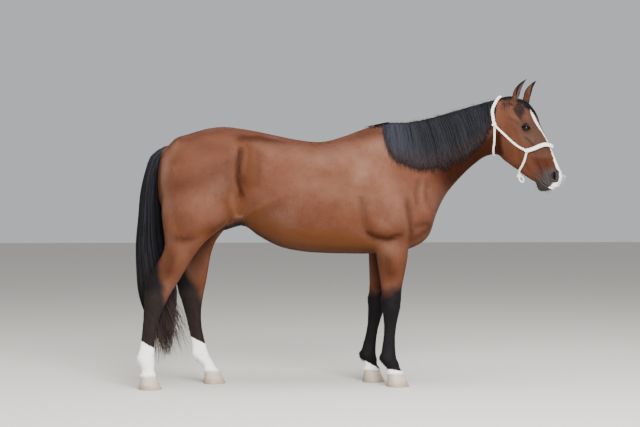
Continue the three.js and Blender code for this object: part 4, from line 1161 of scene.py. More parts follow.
# Shares of dark tone and painted shade, of ochre tone and painted light, of pale hair and painted highlight,
# and of ashen bay, of pink skin showing, and ergot spots on white in mm. Each is the greatest of what its own
# list gives at a point.
def shades(points, normals):
    x, y, z = points.T
    a, _, h = toHead(points).T
    seen = points[:, [0, 2]]
    aside, up = np.abs(normals[:, 1]), normals[:, 2]
    sideways = ease(aside, 0.2, 0.6) * ease(z, 560, 640) * np.where(y > 0, 0.6, 1.0)
    share = {
        name: [amount * bell(toLine(seen, line)[0] / width) * sideways for line, width, amount in strokes]
        for name, strokes in coatStrokes.items()}
    face = (a > -60) & (h > 1130) & (x > 850)
    ahead = a - 0.45 * (1700 - h)  # before the cheek's own slant
    eyeAhead, eyeAbove = a - eyeCentre[0], h - eyeCentre[2]
    neck, reach, _ = toLine(seen, neckLine)
    shadeBetweenLegs = ease(-np.abs(y), -118, -68) * ease(-z, -980, -900) * (z > 560) * ease(-x, -400, -320)
    # painted shade under belly and neck, between the legs, in grooves, beside the ear and above the eye
    share["darker"] += [
        0.5 * ease(-up, 0.6, 1.0) * (z > 700),  # underside
        1.05 * ease(-neck, -130, -40) * ease(reach, 0.0, 0.42) * ease(-a, -40, 20)
        * (0.55 + 0.45 * ease(aside, 0.1, 0.6)),
        0.7 * shadeBetweenLegs,
        0.36 * ease(up, 0.5, 0.95) * ease(z, 1250, 1400),  # along the back
        np.clip(-sculptBody(points, normals) / 26, 0, 0.35),  # muscle grooves
        face * (0.36 - 0.14 * ease(1420 - h, 0, 60) + 0.24 * ease(ahead, 20, 90)) * ease(a, -50, 60),
        face * 0.7 * ease(-h, -1400, -1340) * ease(ahead, -20, 60),
        face * 0.95 * bell((eyeAhead + 36) / 26, (eyeAbove - 108) / 40),  # beside the ear
        face * 0.8 * bell((eyeAhead + 4) / 42, (eyeAbove - 8) / 26),  # above the eye
    ]
    # ochre painted as shade under the hind barrel, ochre over the upper legs, and a warmer cheek
    share["rusty"] += [
        0.8 * ease(-up, 0.2, 0.7) * (z > 700) * ease(-x, -420, -300),
        0.35 * ease(-z, -900, -560) * ease(z, 420, 560),
        face * 0.4 * bell(np.hypot(a - 90, h - 1400) / 90),  # cheek
    ]
    # pale hair under the dock, and painted highlights on the face
    share["lighter"] += [
        bell((x + 1112) / 40, (z - 1410) / 30, y / 60),  # under the dock
        face * 0.3 * ease(ahead, -20, 60) * ease(h, 1370, 1450),
        face * 0.5 * bell(np.hypot((a - 196) / 30, (h - 1466) / 40)),
    ]
    share["ashen"] = [
        ~face * 0.34 * ease(-x, 700, 800) * ease(-z, -620, -540) * ease(z, 200, 260),  # hind cannons
        face * 0.5 * ease(ahead, -10, 70) * ease(h, 1330, 1420) * ease(eyeCentre[2] + 90 - h, 0, 80),
        face * 0.95 * bell((eyeAhead - 4) / 42, (eyeAbove - 4) / 28),
        face * 0.6 * bell((a - 214) / 36, (h - 1256) / 50),
    ]
    share["pink"] = [face * ease(-h, -1235, -1180) * ease(a, 318, 345)]
    spots = ((-1166, 196, 3), (-880, 176, 4))  # forward, height, radius
    share["spots"] = [np.maximum(-60.0, size - np.hypot(x - atX, z - atZ)) for atX, atZ, size in spots]
    return {name: np.maximum.reduce(values) for name, values in share.items()}


# Markings and shades at some points, as attributes of a mesh's corners.
def paint(mesh, points, normals):
    for name, values in {**markings(points), **shades(points, normals)}.items():
        addAttribute(mesh, name, values)


paint(skin.data, corners, normalsOf(skin.data))
skin.data.materials.append(coatMaterial("bay summer coat"))
print("skin: painted")


# Where a point of the skin lies on an unwrap of it: trunk, head and each leg opened as a tube.
def unwrap(points):
    x, y, z = points.T
    middle = np.interp(x, trunkStations[:, 0], (trunkStations[:, 1] + trunkStations[:, 3]) / 2)
    u = (x + 1160) / 2150
    v = 0.46 + 0.53 * (np.arctan2(y, z - middle) / (2 * math.pi) + 0.5)
    local = toHead(points)
    down = (local - np.array([60, 0, 1700])) @ faceAlong
    cross = (local[:, 0] - 60) * 0.9 + (local[:, 2] - 1700) * 0.43 + 120
    head = (local[:, 0] > -60) & (z > 1130) & (x > 840)
    u = np.where(head, 0.44 * (down + 150) / 800, u)
    v = np.where(head, 0.02 + 0.4 * (np.arctan2(local[:, 1], cross) / (2 * math.pi) + 0.5), v)
    for k, (near, forward, outward, _) in enumerate(onLegs(points).values()):
        low = near & (z < 900)
        turn = np.arctan2(outward, forward)[z[near] < 900] / (2 * math.pi) + 0.5
        u[low] = 0.47 + 0.13 * k + 0.12 * turn
        v[low] = 0.02 + 0.42 * z[low] / 900
    return np.clip(np.stack([u, v], -1), 0.003, 0.997)


# Hair and rope are flattened tubes carried along many paths at once: strands by points by 3. The section is
# an ellipse, wide along the surface and thin off it: point + side * width * cos + lift * thickness * sin.
# Both shrink by taper along the path.
def strandMesh(paths, lifts, widths, thick, taper, sides=4):
    count, steps = paths.shape[:2]
    tangent = unit(np.gradient(paths, axis=1))
    across = unit(np.cross(tangent, np.broadcast_to(lifts, paths.shape)))
    off = np.cross(across, tangent)
    angle = circle(sides)
    w = (np.reshape(widths, (-1, 1)) * taper)[:, :, None, None]
    t = (np.reshape(thick, (-1, 1)) * taper)[:, :, None, None]
    ring = (paths[:, :, None] + across[:, :, None] * w * np.cos(angle)[:, None]
            + off[:, :, None] * t * np.sin(angle)[:, None])
    body = ring[:, 1:-1].reshape(count, -1, 3)
    corners = np.concatenate([body, paths[:, :1], paths[:, -1:]], axis=1)
    rows, each = steps - 2, (steps - 2) * sides + 2
    quads, fans = tubeFaces(rows, sides)
    loops = np.concatenate([quads[:, [0, 3, 2, 1]].ravel(), fans[:, [1, 0, 2]].ravel()])
    sizes = np.repeat([4, 3], [len(quads), len(fans)])
    start = np.arange(count)[:, None] * each
    along = np.concatenate([np.repeat(np.arange(1, steps - 1), sides), [0, steps - 1]]) / (steps - 1)
    return (corners.reshape(-1, 3), (loops[None] + start).ravel(), np.tile(sizes, count),
            np.tile(along, count), np.repeat(np.arange(count), each))


# A wave along each strand, begun at a random place: sin(rate * along + start).
def waves(rate, along, count):
    return np.sin(rate * along + chance.uniform(0, 6, (count, 1)))


# A piece of many strands with its bake map: each strand is a patch 0.003 across at its root on the unwrap.
def strandPiece(name, parts, roots, tints=None, material=None, facing=None, soft=False):
    corners, loops, sizes = joined([part[:3] for part in parts])
    along = np.concatenate([part[3] for part in parts])
    counts = [part[4].max() + 1 for part in parts]
    owner = np.concatenate([part[4] + before for part, before in zip(parts, np.cumsum([0, *counts]))])
    piece = makeMesh(name, corners, loops, sizes, material or blackHorsehair)
    mesh = piece.data
    roots = np.concatenate(roots)
    spread = chance.random(len(corners)) - 0.5
    patch = unwrap(roots)[owner] + 0.003 * np.stack([spread, along - 0.5], -1)
    layer = mesh.uv_layers.new(name="OFBake")
    layer.data.foreach_set("uv", patch[loops].astype(np.float32).ravel())
    addAttribute(mesh, "along", along)
    tint = chance.random(sum(counts)) ** 1.8 * 0.5
    if tints is not None:
        tint = 0.6 * tint + np.concatenate(tints)
    addAttribute(mesh, "tint", tint[owner])
    if facing is not None:
        facing = np.concatenate(facing)[owner]
        paint(mesh, roots[owner], facing)
    if soft:
        facing = facing + chance.normal(0, 0.10, (sum(counts), 3))[owner]
        mesh.normals_split_custom_set_from_vertices(unit(facing))
    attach(piece, "root")
    print(name, int((sizes - 2).sum()), "triangles")
    return piece


# Black long hair: coarse hairs in locks, sun-bleached to brown at the ends, with a blue-grey sheen painted
# near the roots, where it bends to the light. Each lock has its own depth of black, and the mane's locks a
# painted sheen, lighter towards the withers; fine lines run along it.
def longHairMaterial():
    material, tree, shader, place = startMaterial("black horsehair")
    tint, along = [addNode(tree, "Attribute", {"attribute_name": key}).outputs["Fac"]
                   for key in ("tint", "along")]
    fine = patchNoise(tree, place, 1.6, 2.0, (1, 1, 0.06))
    lines = addNode(tree, "Math", {**shareOf, 0: fine, 1: 1.0, 2: 0.2})
    ends, crest, bleached = [addNode(tree, "MapRange", {
        "Value": along, "From Min": start, "From Max": end, "To Min": least, "To Max": most})
        for start, end, least, most in ((0.7, 1.0, 0.0, 0.8), (0.0, 0.2, 0.4, 0.0), (1.15, 2.0, 0.0, 0.9))]
    colour = laidOver(tree, "#050506", [
        (tint, "#2C2D36"), (ends, "#3A2C29"), (lines, "#17171B"), (crest, "#34343A"), (bleached, "#54433C")])
    bump = addNode(tree, "Bump", {"Height": fine, "Strength": 0.3, "Distance": 0.001})
    setNode(tree, shader, {
        "Base Color": colour, "Roughness": 0.62, "Specular IOR Level": 0.1, "Normal": bump})
    return material


blackHorsehair = longHairMaterial()

maneSizes = {
    "from": 205, "to": 893, "locks": many(1500), "hairs": many(1500),
    "lower": [[196, 1520], [206, 1430], [226, 1372], [262, 1334], [330, 1302], [400, 1289], [480, 1290],
              [560, 1301], [640, 1330], [712, 1372], [778, 1430], [822, 1500], [850, 1560], [900, 1640]],
    "lift": [2, 11], "width": [3.0, 5.5],
}
trunkFractions = fractionsOf(trunkStations)


# The share of the way along the trunk and neck at which their top line reaches a place forward.
def alongNeck(forward):
    return np.interp(forward, trunkStations[8:, 0], trunkFractions[8:])


# Points on the neck under the mane. drop runs from 0 at the crest down the right side to 1 at the mane's
# lower edge; hair follows the section out to its widest and then hangs below it, leaning forward mid-neck.
def manePoints(x, drop, lift, reach):
    shape = drop.shape
    lean = 95 * ease(x, 300, 600) * ease(-x, -893, -640)
    across = x[:, None] + lean[:, None] * np.clip(drop, 0, None) ** 1.25
    place = alongNeck(across).ravel()
    m = alongStations(trunkStations, trunkFractions, place)
    lower = np.interp(m[:, 0], *np.array(maneSizes["lower"]).T)
    lower = lower + np.broadcast_to(reach[:, None], shape).ravel()
    share = np.clip((m[:, 1] - lower) / (m[:, 1] - m[:, 3]), 0.02, 0.97)
    down = np.clip(drop.ravel(), 0, None) ** 1.25 * share
    turn = np.arccos(np.clip(1 - 2 * down, -1, 1))
    turn = np.where(drop.ravel() < 0, drop.ravel() * 1.2, turn)
    spots = sectionPoints(trunkStations, place, -turn % (2 * math.pi), np.broadcast_to(lift, shape).ravel())
    spots = spots.reshape(*shape, 3)
    held = np.minimum.accumulate(spots[..., 1], axis=1)
    spots[..., 1] = 0.75 * held + 0.25 * spots[..., 1]
    return spots


# The mane: a closed ribbed sheet, then locks and thin hairs down manePoints that wander by waves and
# chance, short hairs as bent lines off the crest, and hair lying back over the withers.
def makeMane():
    sizes = maneSizes
    lowLift, highLift = sizes["lift"]
    # a thick underlayer, ribbed like combed hair, so that no neck shows between the locks
    columns, rows = many(330), 22
    x = np.linspace(sizes["from"] + 6, sizes["to"] - 6, columns)
    ribs = np.convolve(chance.normal(0, 1.6, columns), [0.25, 0.5, 0.25], "same")
    ends = np.convolve(chance.normal(0, 9, columns), [0.2, 0.6, 0.2], "same") + 10
    drop = np.broadcast_to(np.linspace(-0.16, 1, rows), (columns, rows))
    closing = np.minimum(1, 6 * (1 - np.abs(np.linspace(-1, 1, rows))))
    grown = ease(x, sizes["from"], sizes["from"] + 60)[:, None]
    outer = manePoints(x, drop, -2.0 + 5.0 * grown + (2.5 + ribs[:, None]) * closing * grown, ends)
    inner = manePoints(x, drop, np.full((columns, rows), -3.0), ends)
    corners, loops, faces = closedGrid(np.concatenate([outer, inner[:, ::-1]], axis=1))
    column = np.append(np.repeat(np.arange(columns), 2 * rows), [0, columns - 1])
    under = (corners, loops, faces, np.full(len(corners), 0.3), column)
    # locks over it
    count = sizes["locks"]
    x = np.sort(chance.uniform(sizes["from"], sizes["to"], count))
    atWithers = ease(-x, -sizes["from"] - 70, -sizes["from"])
    steps = 13
    s = np.linspace(-0.14, 1, steps)
    reach = chance.normal(0, 15, count) + 7 * np.sin(x / 21) + 4 * np.sin(x / 9 + 1)
    reach = reach + 90 * atWithers * chance.random(count)
    arch = ease(s, -0.1, 0.35) * (1 - 0.35 * ease(s, 0.6, 1.0))
    lift = lowLift + (highLift - lowLift) * chance.random(count)[:, None] * arch
    wander = chance.normal(0, 5, (count, 1)) * s ** 2 + 4 * waves(5, s, count) * s
    spots = manePoints(x, np.broadcast_to(s, (count, steps)), lift, reach)
    spots[..., 0] += wander + atWithers[:, None] * chance.uniform(-8, 30, (count, 1)) * (1 - 0.4 * s)
    out = np.zeros_like(spots)
    out[..., 1], out[..., 2] = -1.0, 0.25
    out[:, :3] = [0, -0.4, 0.9]
    taper = np.concatenate([[0.5, 0.8], np.ones(steps - 6), [0.85, 0.62, 0.36, 0.1]])
    locks = strandMesh(spots, out, chance.uniform(*sizes["width"], count), 1.5, taper, 4)
    # thin hairs, some longer, and short ones standing up along the crest
    count = sizes["hairs"]
    x2 = chance.uniform(sizes["from"] - 8, sizes["to"], count)
    reach = chance.normal(-10, 24, count)
    high = lift[:count % len(lift) or None].mean(0) + chance.uniform(1, 4, (count, 1))
    spots2 = manePoints(x2, np.broadcast_to(s, (count, steps)), high, reach)
    wander = chance.normal(0, 9, (count, 1)) * s ** 2
    spots2[..., 0] += wander + 5 * waves(4, s, count) * s
    hairs = strandMesh(spots2, out[:1], chance.uniform(0.7, 1.3, count), 0.7, taper, 3)
    count = many(420)
    x3 = np.concatenate([chance.uniform(120, 470, count // 3), chance.uniform(380, 900, count - count // 3)])
    place = alongNeck(x3)
    base = sectionPoints(trunkStations, place, chance.normal(0, 0.08, count) % (2 * math.pi), -3.0)
    t = np.linspace(0, 1, 7)
    height = chance.uniform(6, 30, count) * np.where(x3 < 300, 0.5, 1.0)
    lean = chance.normal(-0.25, 0.6, count)
    path = base[:, None] + np.stack([
        (height * lean)[:, None] * t + (height * 0.5)[:, None] * t ** 2 * np.sign(lean)[:, None],
        chance.normal(-0.3, 0.35, count)[:, None] * height[:, None] * t,
        height[:, None] * (t - 0.28 * t ** 2)], -1)
    # hair lying back over the withers, where the mane ends
    count = many(260)
    x4 = 252 - 135 * chance.beta(1.0, 1.6, count)
    place = alongNeck(x4)
    turn = -np.abs(chance.normal(0, 0.2, count)) * (x4 - 60) / 190
    laid = sectionPoints(trunkStations, place, turn % (2 * math.pi), -2.0)
    back = chance.uniform(18, 50, count)[:, None]
    sink = np.interp(laid[:, 0, None] - back * t, trunkStations[:, 0], trunkStations[:, 1]) - laid[:, 2:3]
    bow = (1.5 + 5 * ease(x4, 170, 250)[:, None]) * np.sin(math.pi * t)
    lain = laid[:, None] + np.stack([
        -back * t, chance.normal(-0.15, 0.2, count)[:, None] * back * t,
        np.minimum(sink + 3.5, 3.5) * t ** 0.5 + bow - 2 * t ** 2], -1)
    path, base = np.concatenate([path, lain]), np.concatenate([base, laid])
    wide = chance.uniform(0.5, 1.0, len(path)) * np.append(np.ones(len(x3)), np.full(count, 1.9))
    short = strandMesh(path, np.array([0.0, 1.0, 0.0]), wide, 0.5, 1 - 0.85 * t, 3)

    def shine(where):  # lighter towards the withers and in broad bands
        return 0.03 + 0.55 * ease(-where, -450, -240) + 0.10 * np.sin(where / 37) ** 2

    piece = strandPiece("mane_locks", [locks], [spots[:, 2]], [shine(x)])
    strandPiece("mane_hairs", [under, hairs, short], [outer[:, 3], spots2[:, 2], base],
                [shine(outer[:, 3, 0]), shine(x2), np.zeros(len(base))])
    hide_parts("mane")


tailSizes = {"locks": many(1060), "hairs": many(900), "width": [2.8, 5.4]}


# A point of the tail: share along it, and where in its section, forward and sideways, each from -1 to 1.
def tailPoints(place, forward, sideways):
    table = tailStations
    m = alongStations(table, fractionsOf(table), place.ravel()).reshape(*place.shape, 5)
    half = np.stack([m[..., 2] - m[..., 0], m[..., 3] - m[..., 1]], -1) / 2
    centre = (m[..., 0:2] + m[..., 2:4]) / 2
    spot = centre + half * forward[..., None]
    return np.stack([spot[..., 0], sideways * m[..., 4], spot[..., 1]], -1)


# The tail: a closed core, then locks and hairs that keep their place in the tail's section on the way
# down while they swing by waves, and wisps along curves of the second degree.
def makeTail():
    sizes = tailSizes
    steps = 25
    t = np.linspace(0, 1, steps)
    # a core that keeps daylight out of the upper tail
    around, rows = 20, 40
    place = np.linspace(0.0, 0.8, rows)
    turn = circle(around)
    shrink = 0.66 * (1 - 0.45 * ease(place, 0.5, 0.8)) * (0.35 + 0.65 * ease(place, 0.0, 0.1))
    ring = tailPoints(np.broadcast_to(place[:, None], (rows, around)), shrink[:, None] * np.cos(turn),
                      shrink[:, None] * np.sin(turn))
    corners, loops, faces = closedGrid(ring)
    column = np.append(np.tile(np.arange(around), rows), [0, 0])
    core = (corners, loops, faces, np.full(len(corners), 0.3), column)
    parts, roots = [core], [ring[0]]
    for name, count, width, thick, sides, wild in (
        ("tail_locks", sizes["locks"], sizes["width"], 2.2, 4, 0.05),
        ("tail_hairs", sizes["hairs"], [0.8, 1.5], 0.8, 3, 0.14),
    ):
        angle = chance.uniform(0, 2 * math.pi, count)
        far = np.sqrt(chance.uniform(0.35, 1, count))
        forward, sideways = far * np.cos(angle), far * np.sin(angle)
        # hair at the back of the tail starts at the top of the dock, and hair at the front further down it
        start = np.clip((0.004 + 0.06 * (1 + forward)) * chance.random(count) ** 1.5, 0, 0.2)
        end = np.clip(chance.normal(0.80, 0.10, count), 0.58, 0.99)
        place = start[:, None] + (end - start)[:, None] * t
        swing = wild * waves(3, t, count) * t ** 0.7 * chance.random((count, 1)) * 3
        grip = 0.55 + 0.45 * ease(t, 0, 0.16)
        f = (forward[:, None] * grip + swing)
        g = (sideways[:, None] * grip + wild * 2 * waves(4, t, count) * t)
        over = np.maximum(np.hypot(f, g), 1)
        path = tailPoints(place, f / over, g / over)
        centre = tailPoints(place, np.zeros_like(f), np.zeros_like(f))
        taper = np.interp(t, [0, 0.06, 0.6, 0.85, 1], [0.5, 0.9, 1, 0.6, 0.12])
        widths = chance.uniform(*width, count)
        mesh = strandMesh(path, path - centre + [0, 0, 1e-3], widths, thick, taper, sides)
        if name == "tail_locks":
            # thin sun-bleached wisps that leave the lower tail and fan out forwards between the hind legs
            count = many(420)
            begin = tailPoints(chance.uniform(0.36, 0.72, (count, 1)),
                               chance.uniform(-0.4, 1, (count, 1)) * 0.8,
                               chance.uniform(-0.8, 0.8, (count, 1)))
            fan = chance.beta(1.1, 1.7, count)
            last = np.stack([-1165 + 235 * fan, chance.uniform(-45, 70, count),
                             chance.uniform(110, 300, count) + 90 * fan], -1)
            bow = begin[:, 0] + 0.5 * (last - begin[:, 0]) + np.stack(
                [chance.normal(-22, 16, count), chance.normal(0, 16, count), chance.normal(0, 26, count)], -1)
            u = t[None, :, None]
            wisp = (1 - u) ** 2 * begin + 2 * u * (1 - u) * bow[:, None] + u ** 2 * last[:, None]
            wisp[..., 0] += 8 * waves(chance.uniform(4, 10, (count, 1)), t, count) * t
            widths = chance.uniform(0.7, 1.7, count)
            wisps = strandMesh(wisp, np.array([0.0, -1.0, 0.1]), widths, 0.7, taper, 3)
            parts.append((*wisps[:3], wisps[3] + 1.0, wisps[4]))  # past 1 along they are sun-bleached
            roots.append(begin[:, 0])
            strandPiece(name, [mesh], [path[:, 0]])
        else:
            parts.append(mesh)
            roots.append(path[:, 0])
            strandPiece(name, parts, roots)
    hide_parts("tail")


print("mane and tail")
makeMane()
makeTail()


headFractions = fractionsOf(headStations)


# The surface point of the plain head form at [forward, height], lifted off it: the section whose line runs
# through the spot is found by halving, then the half width there. Beyond the outline it lies on the outline.
def onHeadForm(spots, side, lift):
    spots = np.atleast_2d(np.array(spots, float))
    lift = np.broadcast_to(np.asarray(lift, float), len(spots))
    near, far = np.zeros(len(spots)), np.ones(len(spots))

    def ends(place):  # both ends of a section's line, moved out by the lift
        m = alongStations(headStations, headFractions, place)
        top, bottom = m[:, 0:2], m[:, 2:4]
        up = unit(top - bottom)
        return top + up * lift[:, None], bottom - up * lift[:, None]

    for _ in range(26):
        middle = (near + far) / 2
        top, bottom = ends(middle)
        line, offset = top - bottom, spots - bottom
        ahead = line[:, 0] * offset[:, 1] - line[:, 1] * offset[:, 0] < 0
        near, far = np.where(ahead, middle, near), np.where(ahead, far, middle)
    top, bottom = ends(near)
    line = top - bottom
    share = 1 - ((spots - bottom) * line).sum(1) / (line ** 2).sum(1)
    turn = np.arccos(1 - 2 * np.clip(share, 0, 1))
    points = sectionPoints(headStations, near, turn, lift)
    points[:, 1] = side * np.abs(points[:, 1])
    return points


# A smooth curve through a few points, as many steps as asked for: the stations' own cubic, by distance run.
def smoothPath(points, steps):
    points = np.array(points, float)
    run = np.concatenate([[0], np.cumsum(np.linalg.norm(np.diff(points, axis=0), axis=1))])
    even = np.linspace(0, 1, 12 * steps)
    fine = alongStations(points, run / run[-1], even)
    run = np.concatenate([[0], np.cumsum(np.linalg.norm(np.diff(fine, axis=0), axis=1))])
    wanted = np.linspace(0, run[-1], steps)
    return np.stack([np.interp(wanted, run, fine[:, k]) for k in range(3)], -1), run[-1]


# A forelock: locks from between the ears that fall forward and over to the left, and short ones that lie
# before the right ear. Paths run on the head form by place along it and turn round it.
def makeForelock():
    steps = 12
    s = np.linspace(0, 1, steps)
    parts, roots = [], []
    taper = np.interp(s, [0, 0.1, 0.7, 0.9, 1], [0.6, 1, 0.9, 0.5, 0.1])
    for count, start, turnFrom, turnTo, length, width, lift in (  # pairs are the two ends of a range
        (170, [0.19, 0.30], [-0.40, 0.34], [0.42, 1.2], [0.12, 0.20], [1.4, 3.2], 7),
        (150, [0.19, 0.32], [-0.42, 0.4], [0.3, 1.2], [0.12, 0.22], [0.6, 1.0], 8),
        (250, [0.2, 0.31], [-0.9, -0.38], [-1.0, -0.5], [0.02, 0.085], [0.25, 0.4], 1.5),
        (70, [0.085, 0.15], [-0.75, -0.4], [-1.1, -0.7], [0.02, 0.05], [0.22, 0.36], 1.5),
        (240, [0.0, 0.16], [-0.36, 0.35], [-0.62, 0.5], [0.025, 0.05], [0.6, 1.2], 4),
    ):
        first = chance.uniform(*start, count)
        mix = chance.random(count) ** 1.25
        turnA = turnFrom[0] + (turnFrom[1] - turnFrom[0]) * mix
        turnB = turnTo[0] + (turnTo[1] - turnTo[0]) * np.clip(mix + chance.normal(0, 0.12, count), 0, 1.2)
        room = 0.47 - 0.2 * ease(turnB, 0.75, 1.35) - 0.1 * chance.random(count) - first
        place = first[:, None] + np.minimum(chance.uniform(*length, count), room)[:, None] * s
        turn = turnA[:, None] + (turnB - turnA)[:, None] * s ** 1.2
        turn += (0.04 if lift > 3 else 0.008) * waves(6, s, count) * s
        bow = np.sin(math.pi * np.clip(s * 1.15, 0, 1)) ** 0.7
        rise = -2 + lift * chance.uniform(0.5, 1, (count, 1)) * bow
        rise += 2.4 * s
        where = headStations, place.ravel(), turn.ravel() % (2 * math.pi)
        flat = sectionPoints(*where, rise.ravel())
        off = unit(sectionPoints(*where, rise.ravel() + 5) - flat)
        path = fromHead(swell(flat, off, headSwellings)).reshape(count, steps, 3)
        off = turned(off, headTurn).reshape(count, steps, 3)
        long = lift > 3
        lock = strandMesh(path, off, chance.uniform(*width, count), 0.8 if long else 0.3, taper, 4)
        parts.append(lock if long else (*lock[:3], lock[3] * 0.5 + 0.7, lock[4]))
        roots.append(path[:, 0])
    piece = strandPiece("forelock_locks", parts, roots)
    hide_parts("forelock")


hoofSizes = {"rings": 46, "around": 72, "ringEvery": 7.3, "ringHeight": 0.28, "bevel": 2.0}


# A hoof is its stations' form with growth rings: its radius goes up and down by ringHeight every ringEvery
# mm of height, less at the heels, and turns in by the bevel at the floor. Its top runs in under the hair.
def makeHoof(name, coronet):
    x, y, _ = coronet
    rows, around = hoofSizes["rings"], hoofSizes["around"]
    wall = np.linspace(0.6, hoofHeight + 2, rows - 3)
    z = np.concatenate([[0.0], wall, [hoofHeight + 4, hoofHeight + 5]])[::-1]
    rise = z / hoofHeight
    table = hoofStations[::-1]
    front, back, half = [np.interp(rise, table[:, 0], table[:, k]) for k in (1, 2, 3)]
    flare = 1.6 * np.sin(np.clip(rise, 0, 1) * math.pi)
    turn = circle(around)
    ahead = (1 + np.cos(turn)) / 2
    wave = hoofSizes["ringHeight"] * np.sin(2 * math.pi * z / hoofSizes["ringEvery"])[:, None]
    wave = wave * (0.35 + 0.65 * ahead)
    wave += 0.35 * np.sin(2 * math.pi * z / 17 + 1)[:, None]
    inset = np.where(z < hoofSizes["bevel"], hoofSizes["bevel"] - z, 0) + np.where(z > hoofHeight + 1, 9, 0)
    out = wave - inset[:, None] - flare[:, None] - 1.2
    middle, reach = (front - back) / 2, (front + back) / 2
    heel = 1 - 0.10 * (1 - ahead) ** 3 * np.cos(turn * 2)
    px = x + middle[:, None] + (reach[:, None] + out) * np.cos(turn)
    down = (1 - np.cos(turn)) / 2
    full = down ** 0.5 * (1 - down) ** 0.42
    full = full / full.max() * np.sign(np.sin(turn))
    cleft = 3.5 * bell((turn - math.pi) / 0.16)
    px = px + cleft * ease(rise, 0.1, 0.6)[:, None]
    py = y + (half[:, None] + out) * full * heel
    grid = np.stack([px, py, np.broadcast_to(z[:, None], px.shape)], -1)
    piece = makeMesh(name, *closedGrid(grid), hoofHorn)
    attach(piece, "root")
    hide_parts(name.replace("_horn", ""))


# Hoof horn: pale keratin in fine upright tubules with level growth rings, worn dull and dusty near the floor.
def hornMaterial():
    material, tree, shader, place = startMaterial("pale hoof horn")
    tubules = patchNoise(tree, place, 2.2, 2.0, (1, 1, 0.07))
    rings = patchNoise(tree, place, 9.0, 2.0, (0.12, 0.12, 1))
    dirt = patchNoise(tree, place, 26.0, 4.0)
    bands = addNode(tree, "Math", {**shareOf, 0: rings, 1: 1.6, 2: 0.5})
    lines = addNode(tree, "Math", {**shareOf, 0: tubules, 1: 1.0, 2: 0.25})
    height = addNode(tree, "SeparateXYZ", {0: place}).outputs["Z"]
    low = addNode(tree, "Math", {**timesPlus, 0: dirt, 1: 0.05, 2: height})
    dust = addNode(tree, "MapRange", {"Value": low, "From Min": 0.045, "From Max": 0.0, "To Max": 0.85})
    colour = laidOver(tree, "#A59684", [(bands, "#CBBEAE"), (lines, "#8E7F6D"), (dust, "#85745F")])
    rough = addNode(tree, "Math", {**timesPlus, 0: dirt, 1: 0.4, 2: 0.6})
    relief = addNode(tree, "Math", {"operation": "ADD", 0: tubules, 1: rings})
    bump = addNode(tree, "Bump", {"Height": relief, "Strength": 0.3, "Distance": 0.0006})
    setNode(tree, shader, {"Base Color": colour, "Roughness": rough, "IOR": 1.54, "Normal": bump})
    return material


# Eye: a wet ball, deep brown with a level bar-shaped pupil of blue black. Rings are lengths in mm from the
# eye's middle, kept on the mesh, so that the pattern turns with each eye.
def eyeMaterial():
    material, tree, shader, place = startMaterial("wet brown eye")
    rays = patchNoise(tree, place, 1.1, 3.0)
    share = addNode(tree, "Math", {**shareOf, 0: rays, 1: 1.4, 2: 0.4})
    edges = ("iris", 13.0, 16.5), ("pupil", 1.15, 0.9)
    rim, slit = [addNode(tree, "MapRange", {
        "Value": addNode(tree, "Attribute", {"attribute_name": key}).outputs["Fac"],
        "From Min": start, "From Max": end}) for key, start, end in edges]
    colour = laidOver(tree, "#120905", [(share, "#26140B"), (rim, "#15100E"), (slit, "#05070D")])
    setNode(tree, shader, {
        "Base Color": colour, "Roughness": 0.08, "IOR": 1.376, "Specular IOR Level": 0.24,
        "Coat Weight": 0.08, "Coat Roughness": 0.05})
    return material


hoofHorn = hornMaterial()
wetEye = eyeMaterial()


# An eyeball: rings round its outward axis, with the clear front swelling a little past the ball.
def makeEye(side):
    centre, out, along, up = eyeAxes(side)
    rows, around = 30, 48
    tilt = np.linspace(0, math.pi, rows + 2)[1:-1][:, None]
    turn = circle(around)
    radius = eyeSizes["radius"] - eyeSizes["clearance"]
    bulge = radius * (1 + 0.03 * bell(tilt / 0.55))
    x, y = bulge * np.sin(tilt) * np.cos(turn), bulge * np.sin(tilt) * np.sin(turn)
    depth = bulge * np.cos(tilt) * np.ones_like(turn)
    sign = 1 if np.dot(np.cross(along, up), out) > 0 else -1
    grid = centre + along * x[..., None] + up * (y * sign)[..., None] + out * depth[..., None]
    ends = np.stack([centre + out * radius * 1.03, centre - out * radius])
    corners, loops, sizes = closeRows(grid.reshape(-1, 3), ends, rows, around)
    name = "eyeball_" + ("left" if side > 0 else "right")
    piece = makeMesh(name, fromHead(corners), loops, sizes, wetEye)
    flat = np.stack([np.append(x.ravel(), [0, 0]), np.append((y * sign).ravel(), [0, 0])], -1)
    back = np.append((depth < 0).ravel(), [False, True])
    addAttribute(piece.data, "iris", np.where(back, 20, np.hypot(*flat.T)))
    addAttribute(piece.data, "pupil", np.where(back, 3, np.hypot(flat[:, 0] / 8.5, flat[:, 1] / 4.2)))
    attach(piece, "root")
    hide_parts("eye_" + ("left" if side > 0 else "right"))


